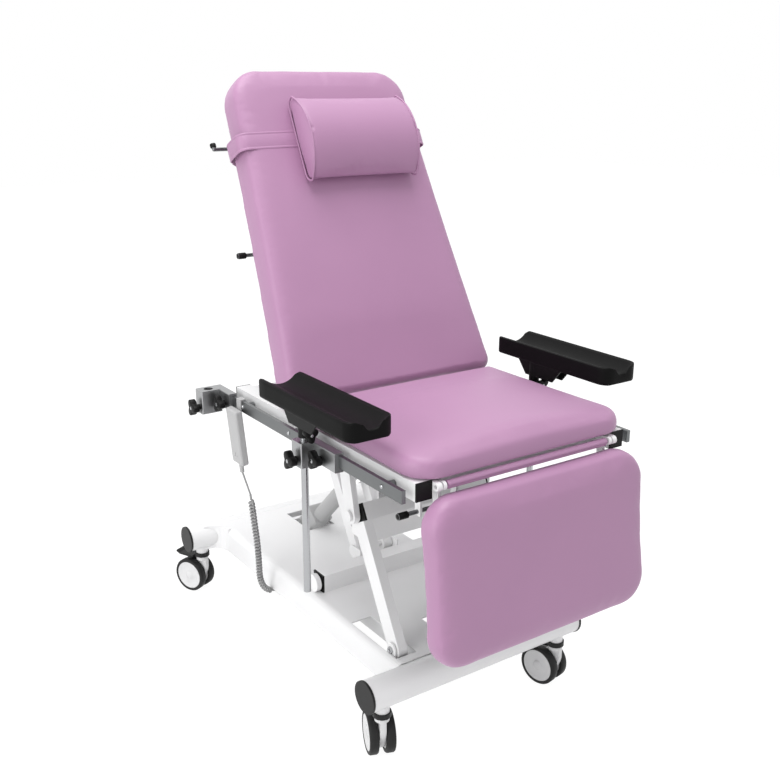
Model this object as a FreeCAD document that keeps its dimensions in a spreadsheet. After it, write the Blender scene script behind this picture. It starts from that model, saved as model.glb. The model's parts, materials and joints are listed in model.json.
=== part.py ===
import FreeCAD, Part
import math
import os
import Sketcher

# Phlebotomy chair: a wheeled base, a parallelogram lift, a seat frame with side rails, a reclining back,
# a leg rest, two clamped arm supports, a pole clamp and a wired handset.
# The chair frame has X across (minus X is the seated person's right), minus Y to the front and Z up.
# Y starts midway between the casters. The whole is then moved so that its box stands centred on the origin.

Vector = FreeCAD.Vector
Rotation = FreeCAD.Rotation
Placement = FreeCAD.Placement

# Driving sizes in millimetres and degrees
SIZES = {
    # Place of the chair frame in the part's own frame
    "shift_across": 1,
    "floor_level": 22,
    "shift_along": 84,
    # Casters
    "wheel_diameter": 110,
    "wheel_width": 24,
    "wheel_spacing": 42,
    "wheel_trail": 34,
    "wheel_rim_radius": 43,
    "wheel_dish": 4,
    "axle_radius": 6,
    "caster_across": 285.6,
    "caster_along": 519.4,
    "housing_width": 17,
    "housing_radius": 40,
    "neck_radius": 19,
    "neck_bottom": 104,
    "collar_bottom": 145,
    "collar_height": 13,
    "collar_radius": 23,
    "stem_radius": 8,
    "stem_rise": 45,
    "swivel_front_right": -21.5,
    "swivel_front_left": 11.5,
    "swivel_rear_right": 25.5,
    "swivel_rear_left": 12,
    "pedal_width": 44,
    "pedal_length": 66,
    "pedal_thickness": 6,
    "pedal_level": 138,
    "pedal_start": 25,
    "pedal_kick": 7,
    "pedal_pivot_radius": 3,
    # Base
    "tube_radius": 40,
    "tube_wall": 3,
    "tube_half_length": 331,
    "tube_level": 212,
    "socket_radius": 19,
    "tube_cap_thickness": 6,
    "tube_cap_lip": 1.5,
    "beam_rail_across": 100,
    "beam_rail_width": 50,
    "beam_rail_height": 60,
    "cover_half_width": 228,
    "cover_bottom": 172,
    "cover_top": 250,
    "cover_wall": 3,
    "cover_half_length": 497,
    "cover_edge_radius": 20,
    "cover_flare": 58,
    "flare_inside_turn": 18.1,
    "slot_inner": 150,
    "slot_outer": 211,
    "slot_front": 474,
    "slot_rear": 265,
    "front_cutout_half_width": 46,
    "front_cutout_front": 395,
    "front_cutout_rear": 349,
    "window_low": 15,
    "window_high": 75,
    "window_front": 288,
    "window_rear": 441,
    # Lift linkage
    "foot_along": 443,
    "foot_level": 258,
    "head_along": 276,
    "head_level": 563,
    "arm_outer": 200,
    "arm_thickness": 25,
    "arm_width": 50,
    "head_tube_width": 75,
    "head_tube_height": 45,
    "head_cap_thickness": 5,
    "head_pin_radius": 10,
    "head_pin_head_radius": 14,
    "head_pin_head": 6,
    "foot_pin_radius": 8,
    "ear_thickness": 5,
    "ear_radius": 18,
    "side_gap": 2,
    "running_gap": 0.05,
    "link_foot_along": 3,
    "link_foot_level": 300,
    "link_centre": 30,
    "link_half_width": 60,
    "link_bar_thickness": 28,
    "link_bar_width": 40,
    "link_tie_low_share": 0.16,
    "link_tie_high_share": 0.28,
    "cross_beam_half_length": 185,
    "beam_rear": 35,
    "cross_beam_height": 50,
    "cross_beam_wall": 3,
    "cross_beam_cap": 5,
    "cross_beam_boss_radius": 25,
    "cross_beam_boss_width": 14,
    "cross_beam_stub_radius": 10,
    "link_lug_thickness": 5,
    "web_thickness": 6,
    "tube_sheet": 3,
    # Lift actuator
    "actuator_foot_along": 385,
    "actuator_foot_level": 200,
    "actuator_head_along": 20,
    "actuator_head_level": 600,
    "actuator_tube_radius": 25,
    "actuator_tube_length": 330,
    "actuator_wall": 3,
    "actuator_rod_radius": 11,
    "actuator_rod_inside": 230,
    "actuator_eye_radius": 18,
    "actuator_eye_width": 28,
    "actuator_pin_radius": 8,
    "actuator_gear_start": 34,
    "actuator_gear_end": 132,
    "actuator_gear_high": 41,
    "actuator_gear_low": 24,
    "actuator_gear_half_width": 31,
    "actuator_gear_round": 9,
    "actuator_mount_gap": 6,
    "actuator_mount_plate": 6,
    "actuator_mount_low": 20,
    # Seat frame
    "frame_tube": 42,
    "frame_side_across": 288,
    "frame_top": 808,
    "frame_front": 677,
    "frame_rear": 160,
    "frame_front_tie": 620,
    "frame_cap": 4,
    "tie_low": 772,
    "tie_high": 802,
    "hanger_inner": 203,
    "hanger_thickness": 16,
    "hanger_width": 45,
    "hanger_top_along": 226,
    "hanger_top_level": 780,
    "mount_tie_low": 752,
    "mount_tie_high": 782,
    "rear_tie_front": 92,
    "hinge_pin_radius": 8,
    "leg_seat_lug_inner": 255,
    # Side rails
    "rail_inner": 332,
    "rail_thickness": 10,
    "rail_height": 30,
    "rail_level": 783,
    "rail_front": 675,
    "rail_rear": 172,
    "rail_spacer_radius": 9,
    "rail_spacer_front": 600,
    "rail_spacer_middle": 190,
    "rail_spacer_rear": 60,
    # Seat cushion
    "seat_half_width": 318,
    "seat_junction_along": 169,
    "seat_junction_level": 855,
    "seat_front": 700,
    "seat_thickness": 47,
    "seat_crown": 22,
    "seat_side_draw": 4,
    "seat_start": 160,
    "seat_rear_corner": 14,
    "seat_front_corner": 70,
    "seat_back_gap": 0.8,
    "cushion_edge": 16,
    "soft_gap": 0.3,
    # Roll between seat and leg rest
    "roll_radius": 9.5,
    "roll_half_length": 238,
    "roll_along": 692,
    "roll_level": 795.5,
    # Control box and leg rest lever
    "box_half_width": 146,
    "box_top": 524,
    "box_bottom": 450,
    "box_front": 243,
    "box_rear": 165,
    "box_round": 6,
    "box_strap_across": 80,
    "box_strap_width": 30,
    "box_strap_front": 221,
    "box_strap_thickness": 5,
    "lever_radius": 5,
    "lever_tip_radius": 7.5,
    "lever_tip_length": 26,
    "lever_inner": 100,
    "lever_outer": 300,
    "lever_along": 600,
    "lever_level": 701,
    "lever_lug_thickness": 6,
    "lever_lug_radius": 10,
    "lever_lug_inner": 140,
    "lever_lug_outer": 240,
    # Back rest
    "back_tilt": 26.5,
    "back_length": 885,
    "back_half_width_low": 326,
    "back_half_width_high": 268,
    "back_thickness": 85,
    "back_crown": 7,
    "back_side_draw": 4,
    "back_corner": 96,
    "back_corner_low": 26,
    "back_hinge_up": -10,
    "back_tube": 30,
    "back_tube_across": 232,
    "back_tube_top": 770,
    "back_tie_low": 250,
    "back_tie_high": 690,
    "back_pin_inner": 214,
    # Head pillow and its strap
    "pillow_half_length": 172,
    "pillow_centre": 45,
    "pillow_low": 565,
    "pillow_high": 800,
    "pillow_depth": 80,
    "pillow_corner": 26,
    "pillow_end": 12,
    "strap_low": 656,
    "strap_high": 702,
    "strap_thickness": 2.5,
    "strap_shoulder": 18,
    # Back release levers
    "release_upper": 714,
    "release_lower": 418,
    "release_behind": 127,
    "release_radius": 5,
    "release_inner": 190,
    "release_upper_reach": 296,
    "release_lower_reach": 304,
    "release_tip_length": 22,
    "release_tip_radius": 7.5,
    "release_bend": 6,
    "release_upper_tip": 10,
    "release_block": 9,
    # Leg rest
    "leg_tilt": 6.6,
    "leg_top_along": 737.8,
    "leg_top_level": 784,
    "leg_length": 390,
    "leg_half_width": 319,
    "leg_thickness": 56,
    "leg_crown": 10,
    "leg_side_draw": 3,
    "leg_corner": 78,
    "leg_tube": 25,
    "leg_tube_across": 235,
    "leg_tube_top": 56,
    "leg_tube_bottom": 330,
    "leg_lug_inner": 243,
    "leg_lug_thickness": 8,
    "leg_lug_radius": 10,
    "leg_pin_radius": 5,
    "leg_tie_low": 300,
    "leg_tie_high": 90,
    # Arm supports
    "post_along": 303,
    "post_across": 362,
    "post_radius": 9,
    "post_bottom": 407,
    "post_top": 888,
    "clamp_inner": 328,
    "clamp_outer": 352,
    "clamp_front": 425,
    "clamp_rear": 280,
    "clamp_bottom": 756,
    "clamp_top": 804,
    "clamp_round": 3,
    "collar_inner": 345,
    "collar_outer": 384,
    "collar_half_length": 23,
    "collar_low": 742,
    "collar_high": 804,
    "bracket_along": 333,
    "bracket_top_length": 186,
    "bracket_bottom_length": 104,
    "bracket_bottom": 846,
    "bracket_top": 896,
    "bracket_plate": 4,
    "bracket_half_width": 20,
    "socket_outer_radius": 14,
    "socket_bottom": 812,
    "pad_across": 370,
    "pad_front": 611,
    "pad_rear": 205,
    "pad_half_width": 59,
    "pad_bottom": 896,
    "pad_top": 942,
    "pad_hollow": 21,
    "pad_rim": 10,
    "pad_front_corner": 30,
    "post_knob_level": 760,
    "rail_knob_along": 362,
    "rail_knob_level": 772,
    "swivel_knob_level": 825,
    # Lobed knobs
    "knob_lobe_radius": 10.5,
    "knob_lobe_offset": 14,
    "knob_core_radius": 13,
    "knob_thickness": 18,
    "knob_neck_radius": 8,
    "knob_neck_length": 8,
    "knob_screw_radius": 4,
    "swivel_knob_share": 0.82,
    # Rear pole clamp
    "pole_clamp_front": 120,
    "pole_clamp_rear": 221,
    "pole_collar_front": 179,
    "pole_collar_outer": 405,
    "pole_collar_low": 740,
    "pole_along": 200,
    "pole_across": 376,
    "pole_radius": 12.5,
    "pole_knob_level": 757,
    "pole_rail_knob_along": 150,
    # Handset and its cord
    "handset_across": 360,
    "handset_along": 78,
    "handset_top": 776,
    "handset_length": 158,
    "handset_width": 60,
    "handset_thickness": 22,
    "handset_lean": 5.4,
    "handset_corner": 6,
    "hook_width": 24,
    "hook_wall": 3,
    "hook_depth": 6,
    "hook_low": 712,
    "relief_radius": 6,
    "relief_length": 26,
    "button_radius": 9,
    "button_rise": 2.5,
    "button_seat": 4,
    "button_pocket": 6,
    "button_upper": 86,
    "button_lower": 118,
    "mark_depth": 0.8,
    "mark_half_width": 9,
    "mark_height": 15,
    "mark_low": 128,
    "lead_radius": 2.5,
    "curl_wire_radius": 3.1,
    "curl_radius": 6.6,
    "curl_count": 32,
    "coil_top_across": 325,
    "coil_top_along": 70,
    "coil_top_level": 524,
    "coil_low_across": 276,
    "coil_low_along": 118,
    "coil_low_level": 248,
    "coil_turn_across": 266,
    "coil_turn_along": 150,
    "gland_along": 160,
    "gland_inner": 120,
    "gland_outer": 206,
    "gland_level": 156,
    "gland_half_height": 13,
    # One overrun for every cut
    "overrun": 5,
}

doc = FreeCAD.newDocument("phlebotomy_chair")
sheet = doc.addObject("Spreadsheet::Sheet", "Sizes")


class Size:
    """A length, angle or share with the expression that reads it from the sheet."""

    def __init__(self, value, text):
        self.value = float(value)
        self.text = text

    def __add__(self, other):
        other = as_size(other)
        return Size(self.value + other.value, f"({self.text} + {other.text})")

    def __sub__(self, other):
        other = as_size(other)
        return Size(self.value - other.value, f"({self.text} - {other.text})")

    def __mul__(self, other):
        other = as_size(other)
        return Size(self.value * other.value, f"({self.text} * {other.text})")

    def __truediv__(self, other):
        other = as_size(other)
        return Size(self.value / other.value, f"({self.text} / {other.text})")

    def __radd__(self, other):
        return as_size(other) + self

    def __rsub__(self, other):
        return as_size(other) - self

    def __rmul__(self, other):
        return as_size(other) * self

    def __neg__(self):
        return Size(-self.value, f"(-{self.text})")

    def __float__(self):
        return self.value


def as_size(thing):
    if isinstance(thing, Size):
        return thing
    return Size(thing, repr(float(thing)))


def sine(angle):
    return Size(math.sin(math.radians(angle.value)), f"sin({angle.text})")


def cosine(angle):
    return Size(math.cos(math.radians(angle.value)), f"cos({angle.text})")


def distance(along, up):
    return Size(math.hypot(along.value, up.value),
                f"sqrt({along.text} * {along.text} + {up.text} * {up.text})")


def slope_angle(along, up):
    return Size(math.degrees(math.atan2(up.value, along.value)), f"atan2({up.text}; {along.text})")


class Sizes:
    """Every cell of the sheet by its alias."""


for row, (alias, value) in enumerate(SIZES.items(), start=1):
    sheet.set(f"A{row}", alias.replace("_", " "))
    sheet.set(f"B{row}", str(value))
    sheet.setAlias(f"B{row}", alias)
    setattr(Sizes, alias, Size(value, f"Sizes.{alias}"))
doc.recompute()
S = Sizes

SIDES = {"right": -1, "left": 1}
PARTS = []


# Ways of making one sub-part

def keep(obj, label):
    """Name a finished sub-part and put it among those that are written out."""
    obj.Label = label
    PARTS.append(obj)
    return obj


def bind(obj, **sizes):
    for name, size in sizes.items():
        obj.setExpression(name, as_size(size).text)
    return obj


def place(obj, across=0, along=0, up=0, axis=None, angle=0):
    """Put an object at a point of the chair frame, turned about one axis."""
    spot = [S.shift_across + across, S.shift_along + along, as_size(up) - S.floor_level]
    turn = Rotation(axis or Vector(0, 0, 1), float(as_size(angle)))
    obj.Placement = Placement(Vector(*[float(v) for v in spot]), turn)
    for name, size in zip("xyz", spot):
        obj.setExpression(f"Placement.Base.{name}", size.text)
    if axis is not None:
        obj.setExpression("Placement.Rotation.Angle", as_size(angle).text)
    return obj


def base_plane(body, role):
    return next(feature for feature in body.Origin.OriginFeatures if feature.Role == role)


def sketch_on(body, role, level=0):
    """A sketch on one of the body's own planes, moved along its normal."""
    sketch = body.newObject("Sketcher::SketchObject", body.Name + "_sketch")
    sketch.AttachmentSupport = [(base_plane(body, role), "")]
    sketch.MapMode = "FlatFace"
    sketch.setExpression("AttachmentOffset.Base.z", as_size(level).text)
    return sketch


def hold(sketch, kind, geometry, point, size):
    size = as_size(size)
    index = sketch.addConstraint(Sketcher.Constraint(kind, -1, 1, geometry, point, size.value))
    if "Sizes" in size.text:
        sketch.setExpression(f"Constraints[{index}]", size.text)


def outline(sketch, corners):
    """A closed outline of straight lines, each corner held from the sheet."""
    points = [(as_size(x), as_size(y)) for x, y in corners]
    flat = [Vector(x.value, y.value, 0) for x, y in points]
    first = sketch.GeometryCount
    for start, end in zip(flat, flat[1:] + flat[:1]):
        sketch.addGeometry(Part.LineSegment(start, end), False)
    for i, (x, y) in enumerate(points):
        following = (i + 1) % len(points)
        sketch.addConstraint(Sketcher.Constraint("Coincident", first + i, 2, first + following, 1))
        hold(sketch, "DistanceX", first + i, 1, x)
        hold(sketch, "DistanceY", first + i, 1, y)


# Straight pieces in a rounded quarter turn
TURN_STEPS = 5


def quarter_turn(x, y, radius, first, last):
    """Corners along a quarter turn about a centre, from one angle to another."""
    first, last = as_size(first), as_size(last)
    corners = []
    for i in range(TURN_STEPS + 1):
        angle = first + (last - first) * (i / TURN_STEPS)
        corners.append((x + cosine(angle) * radius, y + sine(angle) * radius))
    return corners


def circle(sketch, x, y, radius):
    x, y, radius = as_size(x), as_size(y), as_size(radius)
    index = sketch.addGeometry(Part.Circle(Vector(x.value, y.value, 0), Vector(0, 0, 1), radius.value),
                               False)
    hold(sketch, "DistanceX", index, 3, x)
    hold(sketch, "DistanceY", index, 3, y)
    limit = sketch.addConstraint(Sketcher.Constraint("Radius", index, radius.value))
    sketch.setExpression(f"Constraints[{limit}]", radius.text)


def rectangle(sketch, low_x, low_y, high_x, high_y):
    outline(sketch, [(low_x, low_y), (high_x, low_y), (high_x, high_y), (low_x, high_y)])


def new_body(name):
    return doc.addObject("PartDesign::Body", name)


def pad(body, sketch, length, both_ways=False):
    feature = body.newObject("PartDesign::Pad", body.Name + "_pad")
    feature.Profile = sketch
    feature.Midplane = both_ways
    bind(feature, Length=length)
    return feature


def pocket(body, sketch, length, both_ways=True):
    feature = body.newObject("PartDesign::Pocket", body.Name + "_pocket")
    feature.Profile = sketch
    feature.Midplane = both_ways
    bind(feature, Length=length)
    return feature


def revolve(body, sketch, axis="V_Axis"):
    feature = body.newObject("PartDesign::Revolution", body.Name + "_turned")
    feature.Profile = sketch
    feature.ReferenceAxis = (sketch, [axis])
    feature.Angle = 360
    return feature


def box(across, along, up):
    """A primitive block between low and high sizes on each axis."""
    block = doc.addObject("Part::Box", "block")
    bind(block, Length=across[1] - across[0], Width=along[1] - along[0], Height=up[1] - up[0])
    return settle(block, across[0], along[0], up[0])


def settle(obj, x, y, z, turn=None):
    """Put a primitive at a point inside its own sub-part."""
    spot = [as_size(v) for v in (x, y, z)]
    obj.Placement = Placement(Vector(*[v.value for v in spot]), turn or Rotation())
    for name, size in zip("xyz", spot):
        obj.setExpression(f"Placement.Base.{name}", size.text)
    return obj


TO_X = Rotation(Vector(0, 1, 0), 90)
TO_Y = Rotation(Vector(1, 0, 0), -90)


def rod(radius, length, x, y, z, turn=None):
    """A primitive cylinder that starts at a point, upright unless turned."""
    cylinder = doc.addObject("Part::Cylinder", "rod")
    bind(cylinder, Radius=radius, Height=length)
    return settle(cylinder, x, y, z, turn)


def rod_across(radius, low, high, y, z):
    return rod(radius, as_size(high) - low, low, y, z, TO_X)


def fuse(*shapes):
    whole = doc.addObject("Part::MultiFuse", "joined")
    whole.Shapes = list(shapes)
    whole.Refine = True
    return whole


def cut(base, *tools):
    result = doc.addObject("Part::Cut", "cut")
    result.Base = base
    result.Tool = tools[0] if len(tools) == 1 else fuse(*tools)
    result.Refine = True
    return result


def rounded(base, radius, edges):
    """Round the edges of a shape that a test picks."""
    doc.recompute()
    result = doc.addObject("Part::Fillet", "rounded")
    result.Base = base
    size = float(as_size(radius))
    result.Edges = [(i, size, size) for i, edge in enumerate(base.Shape.Edges, start=1) if edges(edge)]
    return result


def runs_along(edge, axis):
    """Whether an edge is straight along one axis."""
    if len(edge.Vertexes) != 2 or not isinstance(edge.Curve, (Part.Line, Part.LineSegment)):
        return False
    way = edge.Vertexes[1].Point - edge.Vertexes[0].Point
    return abs(way.dot(axis)) > 0.999 * way.Length


def point(*sizes):
    return Vector(*[float(as_size(v)) for v in sizes])


def frame_axes(tilt):
    """Unit vectors along and square to a plane that leans back from upright, in the side view."""
    return (sine(tilt), cosine(tilt)), (-cosine(tilt), sine(tilt))


# Cushions

# Shares of a cushion's edge: how far its round edges reach and where its sides stand out most
LOW_EDGE_SHARE = 0.2
TOP_EDGE_SHARE = 0.42
SIDE_PEAK_SHARE = 0.5
# Shares of a rounded corner's quarter turn, and of the straight middle, at which a section stands
CORNER_SHARES = (0.12, 0.36, 0.66, 1.0)
MIDDLE_SHARES = (0.14, 0.32, 0.5, 0.68, 0.86)
# The crown left at an end, as a share of the whole
LEAST_CROWN_SHARE = 0.03


def cushion_section(half, thick, crown, edge, spot, out):
    """A closed section across: flat below, round sides and a crowned top."""
    low = min(edge, thick * LOW_EDGE_SHARE, half * LOW_EDGE_SHARE)
    top = min(edge, thick * TOP_EDGE_SHARE, half * LOW_EDGE_SHARE)

    def at(x, n):
        return spot + Vector(1, 0, 0) * x + out * n

    left_low, right_low = at(low - half, 0), at(half - low, 0)
    left_top, right_top = at(top - half, thick), at(half - top, thick)
    return Part.Wire([
        Part.LineSegment(left_low, right_low).toShape(),
        Part.Arc(right_low, at(half, thick * SIDE_PEAK_SHARE), right_top).toShape(),
        Part.Arc(right_top, at(0, thick + crown), left_top).toShape(),
        Part.Arc(left_top, at(-half, thick * SIDE_PEAK_SHARE), left_low).toShape(),
    ])


def cushion(halves, length, thick, crown, draw, edge, corners, thins, ease, frame):
    """A crowned pad with rounded corners in plan, sides drawn in between them and thinner ends."""
    spot, along, out = frame
    stations = []
    for share in CORNER_SHARES:
        turn = share * math.pi / 2
        inset = corners[0] * (1 - math.sin(turn))
        stations.append((corners[0] * (1 - math.cos(turn)), inset, math.sin(turn), thins[0]))
    middle = length - corners[0] - corners[1]
    for share in MIDDLE_SHARES:
        stations.append((corners[0] + middle * share, draw * math.sin(share * math.pi), 1, 1))
    for share in reversed(CORNER_SHARES):
        turn = share * math.pi / 2
        inset = corners[1] * (1 - math.sin(turn))
        stations.append((length - corners[1] * (1 - math.cos(turn)), inset, math.sin(turn), thins[1]))
    wires = []
    for at, inset, swell, thin in stations:
        half = halves[0] + (halves[1] - halves[0]) * at / length - inset
        height = thick * (thin + (1 - thin) * math.sqrt(swell))
        rise = crown * max(LEAST_CROWN_SHARE, swell * min(1, (at / ease) ** 2))
        wires.append(cushion_section(half, height, rise, edge, spot + along * at, out))
    return Part.makeLoft(wires, True, False)


def plain(*sizes):
    return [float(as_size(size)) for size in sizes]


def soft(name, shape):
    """A formed solid that is set from the sheet's sizes, placed after its shape."""
    feature = doc.addObject("Part::Feature", name)
    feature.Shape = shape
    place(feature)
    return keep(feature, name)


def ordered(side, low, high):
    """A span across the chair on one side, with its smaller end first."""
    low, high = as_size(low), as_size(high)
    return (low, high) if side > 0 else (-high, -low)


def group(shapes, label):
    whole = doc.addObject("Part::Compound", "group")
    whole.Links = shapes
    return keep(place(whole), label)


def knob_at(spot, axis, angle, screw, share=1):
    """A knob with three lobes, on a screw that points back from its neck."""
    core = rod(S.knob_core_radius * share, S.knob_thickness, 0, 0, S.knob_neck_length)
    neck = rod(S.knob_neck_radius, S.knob_neck_length, 0, 0, 0)
    thread = rod(S.knob_screw_radius, screw + S.side_gap, 0, 0, -screw)
    lobes = []
    for turn in KNOB_TURNS:
        x, y = math.cos(math.radians(turn)), math.sin(math.radians(turn))
        offset = S.knob_lobe_offset * share
        lobes.append(rod(S.knob_lobe_radius * share, S.knob_thickness, offset * x, offset * y,
                         S.knob_neck_length))
    return place(fuse(core, neck, thread, *lobes), *spot, axis, angle)


# Angles of a knob's three lobes
KNOB_TURNS = (30, 150, 270)


def prism(points, across):
    """A solid between two sizes across, with an outline in the side view; it reads the sheet once."""
    flat = [Vector(float(as_size(across[0])), float(as_size(y)), float(as_size(z))) for y, z in points]
    face = Part.Face(Part.makePolygon(flat + flat[:1]))
    feature = doc.addObject("Part::Feature", "prism")
    feature.Shape = face.extrude(Vector(float(as_size(across[1])) - float(as_size(across[0])), 0, 0))
    return feature


def trapezoid(across):
    """A bracket side plate, long at the top."""
    top, low = S.bracket_top_length / 2, S.bracket_bottom_length / 2
    middle = -S.bracket_along
    return prism([(middle - low, S.bracket_bottom), (middle + low, S.bracket_bottom),
                  (middle + top, S.bracket_top),
                  (middle - top, S.bracket_top)], across)


def triangle(low, high):
    """A shallow three-cornered recess on the handset's outer face."""
    return prism([(-S.mark_half_width, -S.mark_low - S.mark_height / 2),
                  (S.mark_half_width, -S.mark_low - S.mark_height / 2),
                  (0, -S.mark_low + S.mark_height / 2)], (low, high))


def rail_slot(side, start, end):
    """The hole that a clamp leaves for the rail."""
    gap = S.running_gap
    half = S.rail_height / 2 + gap
    return box(ordered(side, S.rail_inner - gap, S.rail_inner + S.rail_thickness + gap), (start, end),
               (S.rail_level - half, S.rail_level + half))


# Casters: a stem and housing that swivel, with a pair of wheels on one axle

def caster(label, across, along, swivel):
    wheel_radius = S.wheel_diameter / 2
    axle_level = S.floor_level + wheel_radius
    housing_half = S.housing_width / 2
    web = rod_across(S.housing_radius, -housing_half, housing_half, S.wheel_trail, axle_level)
    neck = rod(S.neck_radius, S.collar_bottom - S.neck_bottom, 0, 0, S.neck_bottom)
    bridge = box((-housing_half, housing_half), (-S.neck_radius, S.wheel_trail),
                 (axle_level, S.neck_bottom + S.pedal_width / 2))
    stem = rod(S.stem_radius, S.stem_rise, 0, 0, S.collar_bottom)
    axle_end = S.wheel_spacing / 2 + S.wheel_width / 2 - S.wheel_dish
    axle = rod_across(S.axle_radius, -axle_end, axle_end, S.wheel_trail, axle_level)
    space = []
    inner = S.wheel_spacing / 2 - S.wheel_width / 2 - S.side_gap / 4
    for side in SIDES.values():
        low = inner if side > 0 else -inner - S.wheel_width * 2
        space.append(rod_across(wheel_radius + S.side_gap, low, low + S.wheel_width * 2, S.wheel_trail,
                                axle_level))
    housing = fuse(cut(fuse(web, neck, bridge), *space), stem, axle)
    place(housing, across, along, 0, Vector(0, 0, 1), swivel)
    keep(housing, f"caster_{label}_housing")

    wheels = new_body(f"caster_{label}_wheels")
    bore = S.axle_radius + S.running_gap
    for side in SIDES.values():
        profile = sketch_on(wheels, "XY_Plane")
        middle = side * S.wheel_spacing / 2
        face = middle + side * S.wheel_width / 2
        back = middle - side * S.wheel_width / 2
        round_edge = S.wheel_dish
        outline(profile, [
            (back, bore), (back, wheel_radius - round_edge), (back + side * round_edge, wheel_radius),
            (face - side * round_edge, wheel_radius), (face, wheel_radius - round_edge),
                          (face, S.wheel_rim_radius),
            (face - side * S.wheel_dish, S.wheel_rim_radius - S.wheel_dish),
                          (face - side * S.wheel_dish, bore),
        ])
        revolve(wheels, profile, "H_Axis")
    trail_x = -sine(swivel) * S.wheel_trail
    trail_y = cosine(swivel) * S.wheel_trail
    place(wheels, across + trail_x, along + trail_y, axle_level, Vector(0, 0, 1), swivel)
    keep(wheels, f"caster_{label}_wheels")


def brake_pedal(label, across, along, swivel):
    """A tread plate with a kicked-up tip, hinged on the housing behind the neck."""
    pedal = new_body(f"brake_pedal_{label}")
    side = sketch_on(pedal, "YZ_Plane")
    start, end = S.pedal_start, S.pedal_start + S.pedal_length
    thick = S.pedal_thickness
    bend = end - S.pedal_kick * 2
    outline(side, [
        (start, S.pedal_level), (bend, S.pedal_level), (end, S.pedal_level + S.pedal_kick),
        (end - thick / 2, S.pedal_level + S.pedal_kick + thick), (bend, S.pedal_level + thick),
        (start, S.pedal_level + thick),
    ])
    pad(pedal, side, S.pedal_width, both_ways=True)
    lug = sketch_on(pedal, "YZ_Plane")
    lug_low = S.neck_bottom + S.pedal_width / 2 + S.soft_gap
    pivot = S.wheel_trail + S.pedal_pivot_radius
    rectangle(lug, S.neck_radius + S.soft_gap, lug_low, pivot, S.pedal_level + thick / 2)
    pad(pedal, lug, S.housing_width - S.side_gap, both_ways=True)
    knuckle = sketch_on(pedal, "YZ_Plane")
    circle(knuckle, pivot, lug_low + S.pedal_pivot_radius, S.pedal_pivot_radius)
    pad(pedal, knuckle, S.housing_width - S.side_gap, both_ways=True)
    place(pedal, across, along, 0, Vector(0, 0, 1), swivel)
    keep(pedal, f"brake_pedal_{label}")


for end, way in {"front": -1, "rear": 1}.items():
    for side_name, side in SIDES.items():
        name = f"{end}_{side_name}"
        turn = getattr(S, f"swivel_{name}")
        caster(name, side * S.caster_across, way * S.caster_along, turn)
        if end == "rear":
            brake_pedal(name, side * S.caster_across, way * S.caster_along, turn)

# Base: two cross tubes with stem sockets, joined by two box rails, with pivot ears on plates

tubes, hollows, sockets, stem_bores = [], [], [], []
socket_bottom = S.collar_bottom + S.collar_height
for way in (-1, 1):
    along = way * S.caster_along
    half = S.tube_half_length
    tubes.append(rod_across(S.tube_radius, -half, half, along, S.tube_level))
    inner = S.tube_radius - S.tube_wall
    hollows.append(rod_across(inner, -half - S.overrun, half + S.overrun, along, S.tube_level))
    for side in SIDES.values():
        across = side * S.caster_across
        sockets.append(rod(S.socket_radius, S.tube_level - socket_bottom, across, along, socket_bottom))
        stem_bores.append(rod(S.stem_radius + S.running_gap, S.stem_rise + S.overrun, across, along,
                              socket_bottom - S.overrun))
cross_tubes = cut(fuse(cut(fuse(*tubes), *hollows), *sockets), *stem_bores)

rail_low = S.tube_level - S.beam_rail_height / 2
rail_high = S.tube_level + S.beam_rail_height / 2
rail_end = S.caster_along - S.tube_radius + S.tube_wall
box_rails = []
for side in SIDES.values():
    middle = side * S.beam_rail_across
    half = S.beam_rail_width / 2
    box_rails.append(box((middle - half, middle + half), (-rail_end, rail_end), (rail_low, rail_high)))
plate_low = rail_low
plate_high = rail_low + S.cover_wall * 2
foot_plate = box((-S.slot_outer, S.slot_outer), (-S.foot_along - S.ear_radius * 2,
                                                 -S.foot_along + S.ear_radius * 2),
                 (plate_low, plate_high))
gland = box((-S.gland_outer, -S.gland_inner), (S.gland_along - S.gland_half_height,
                                               S.gland_along + S.gland_half_height),
            (S.gland_level - S.gland_half_height, rail_low + S.cover_wall))
actuator_tie = box((-S.beam_rail_across, S.beam_rail_across),
                   (S.actuator_foot_along + S.actuator_eye_radius + S.side_gap,
                    S.actuator_foot_along + S.actuator_eye_radius * 2), (rail_low, rail_high))
actuator_ears, actuator_pins = [], []
for side in SIDES.values():
    near = S.link_centre + side * (S.actuator_eye_width / 2 + S.side_gap)
    far = near + side * S.ear_thickness
    across = (near, far) if side > 0 else (far, near)
    actuator_ears.append(box(across, (S.actuator_foot_along - S.ear_radius,
                                      S.actuator_foot_along + S.actuator_eye_radius * 2),
                             (rail_low, S.actuator_foot_level + S.ear_radius)))
    pin_low = S.link_centre - S.actuator_eye_width / 2 - S.side_gap - S.ear_thickness
actuator_pins.append(rod_across(S.actuator_pin_radius, pin_low,
                                pin_low + S.actuator_eye_width + (S.side_gap + S.ear_thickness) * 2,
                                S.actuator_foot_along, S.actuator_foot_level))
foot_ears = []
for side in SIDES.values():
    for edge in (S.arm_outer + S.side_gap, S.arm_outer - S.arm_thickness - S.side_gap - S.ear_thickness):
        across = (side * edge, side * (edge + S.ear_thickness))
        across = across if side > 0 else (across[1], across[0])
        foot_ears.append(box(across, (-S.foot_along - S.ear_radius, -S.foot_along + S.ear_radius),
                             (plate_low, S.foot_level)))
        foot_ears.append(rod_across(S.ear_radius, across[0], across[1], -S.foot_along, S.foot_level))
    inner = S.arm_outer - S.arm_thickness - S.side_gap - S.ear_thickness
    outer = S.arm_outer + S.side_gap + S.ear_thickness
    low, high = (inner, outer) if side > 0 else (-outer, -inner)
    foot_ears.append(rod_across(S.foot_pin_radius, low, high, -S.foot_along, S.foot_level))
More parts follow.
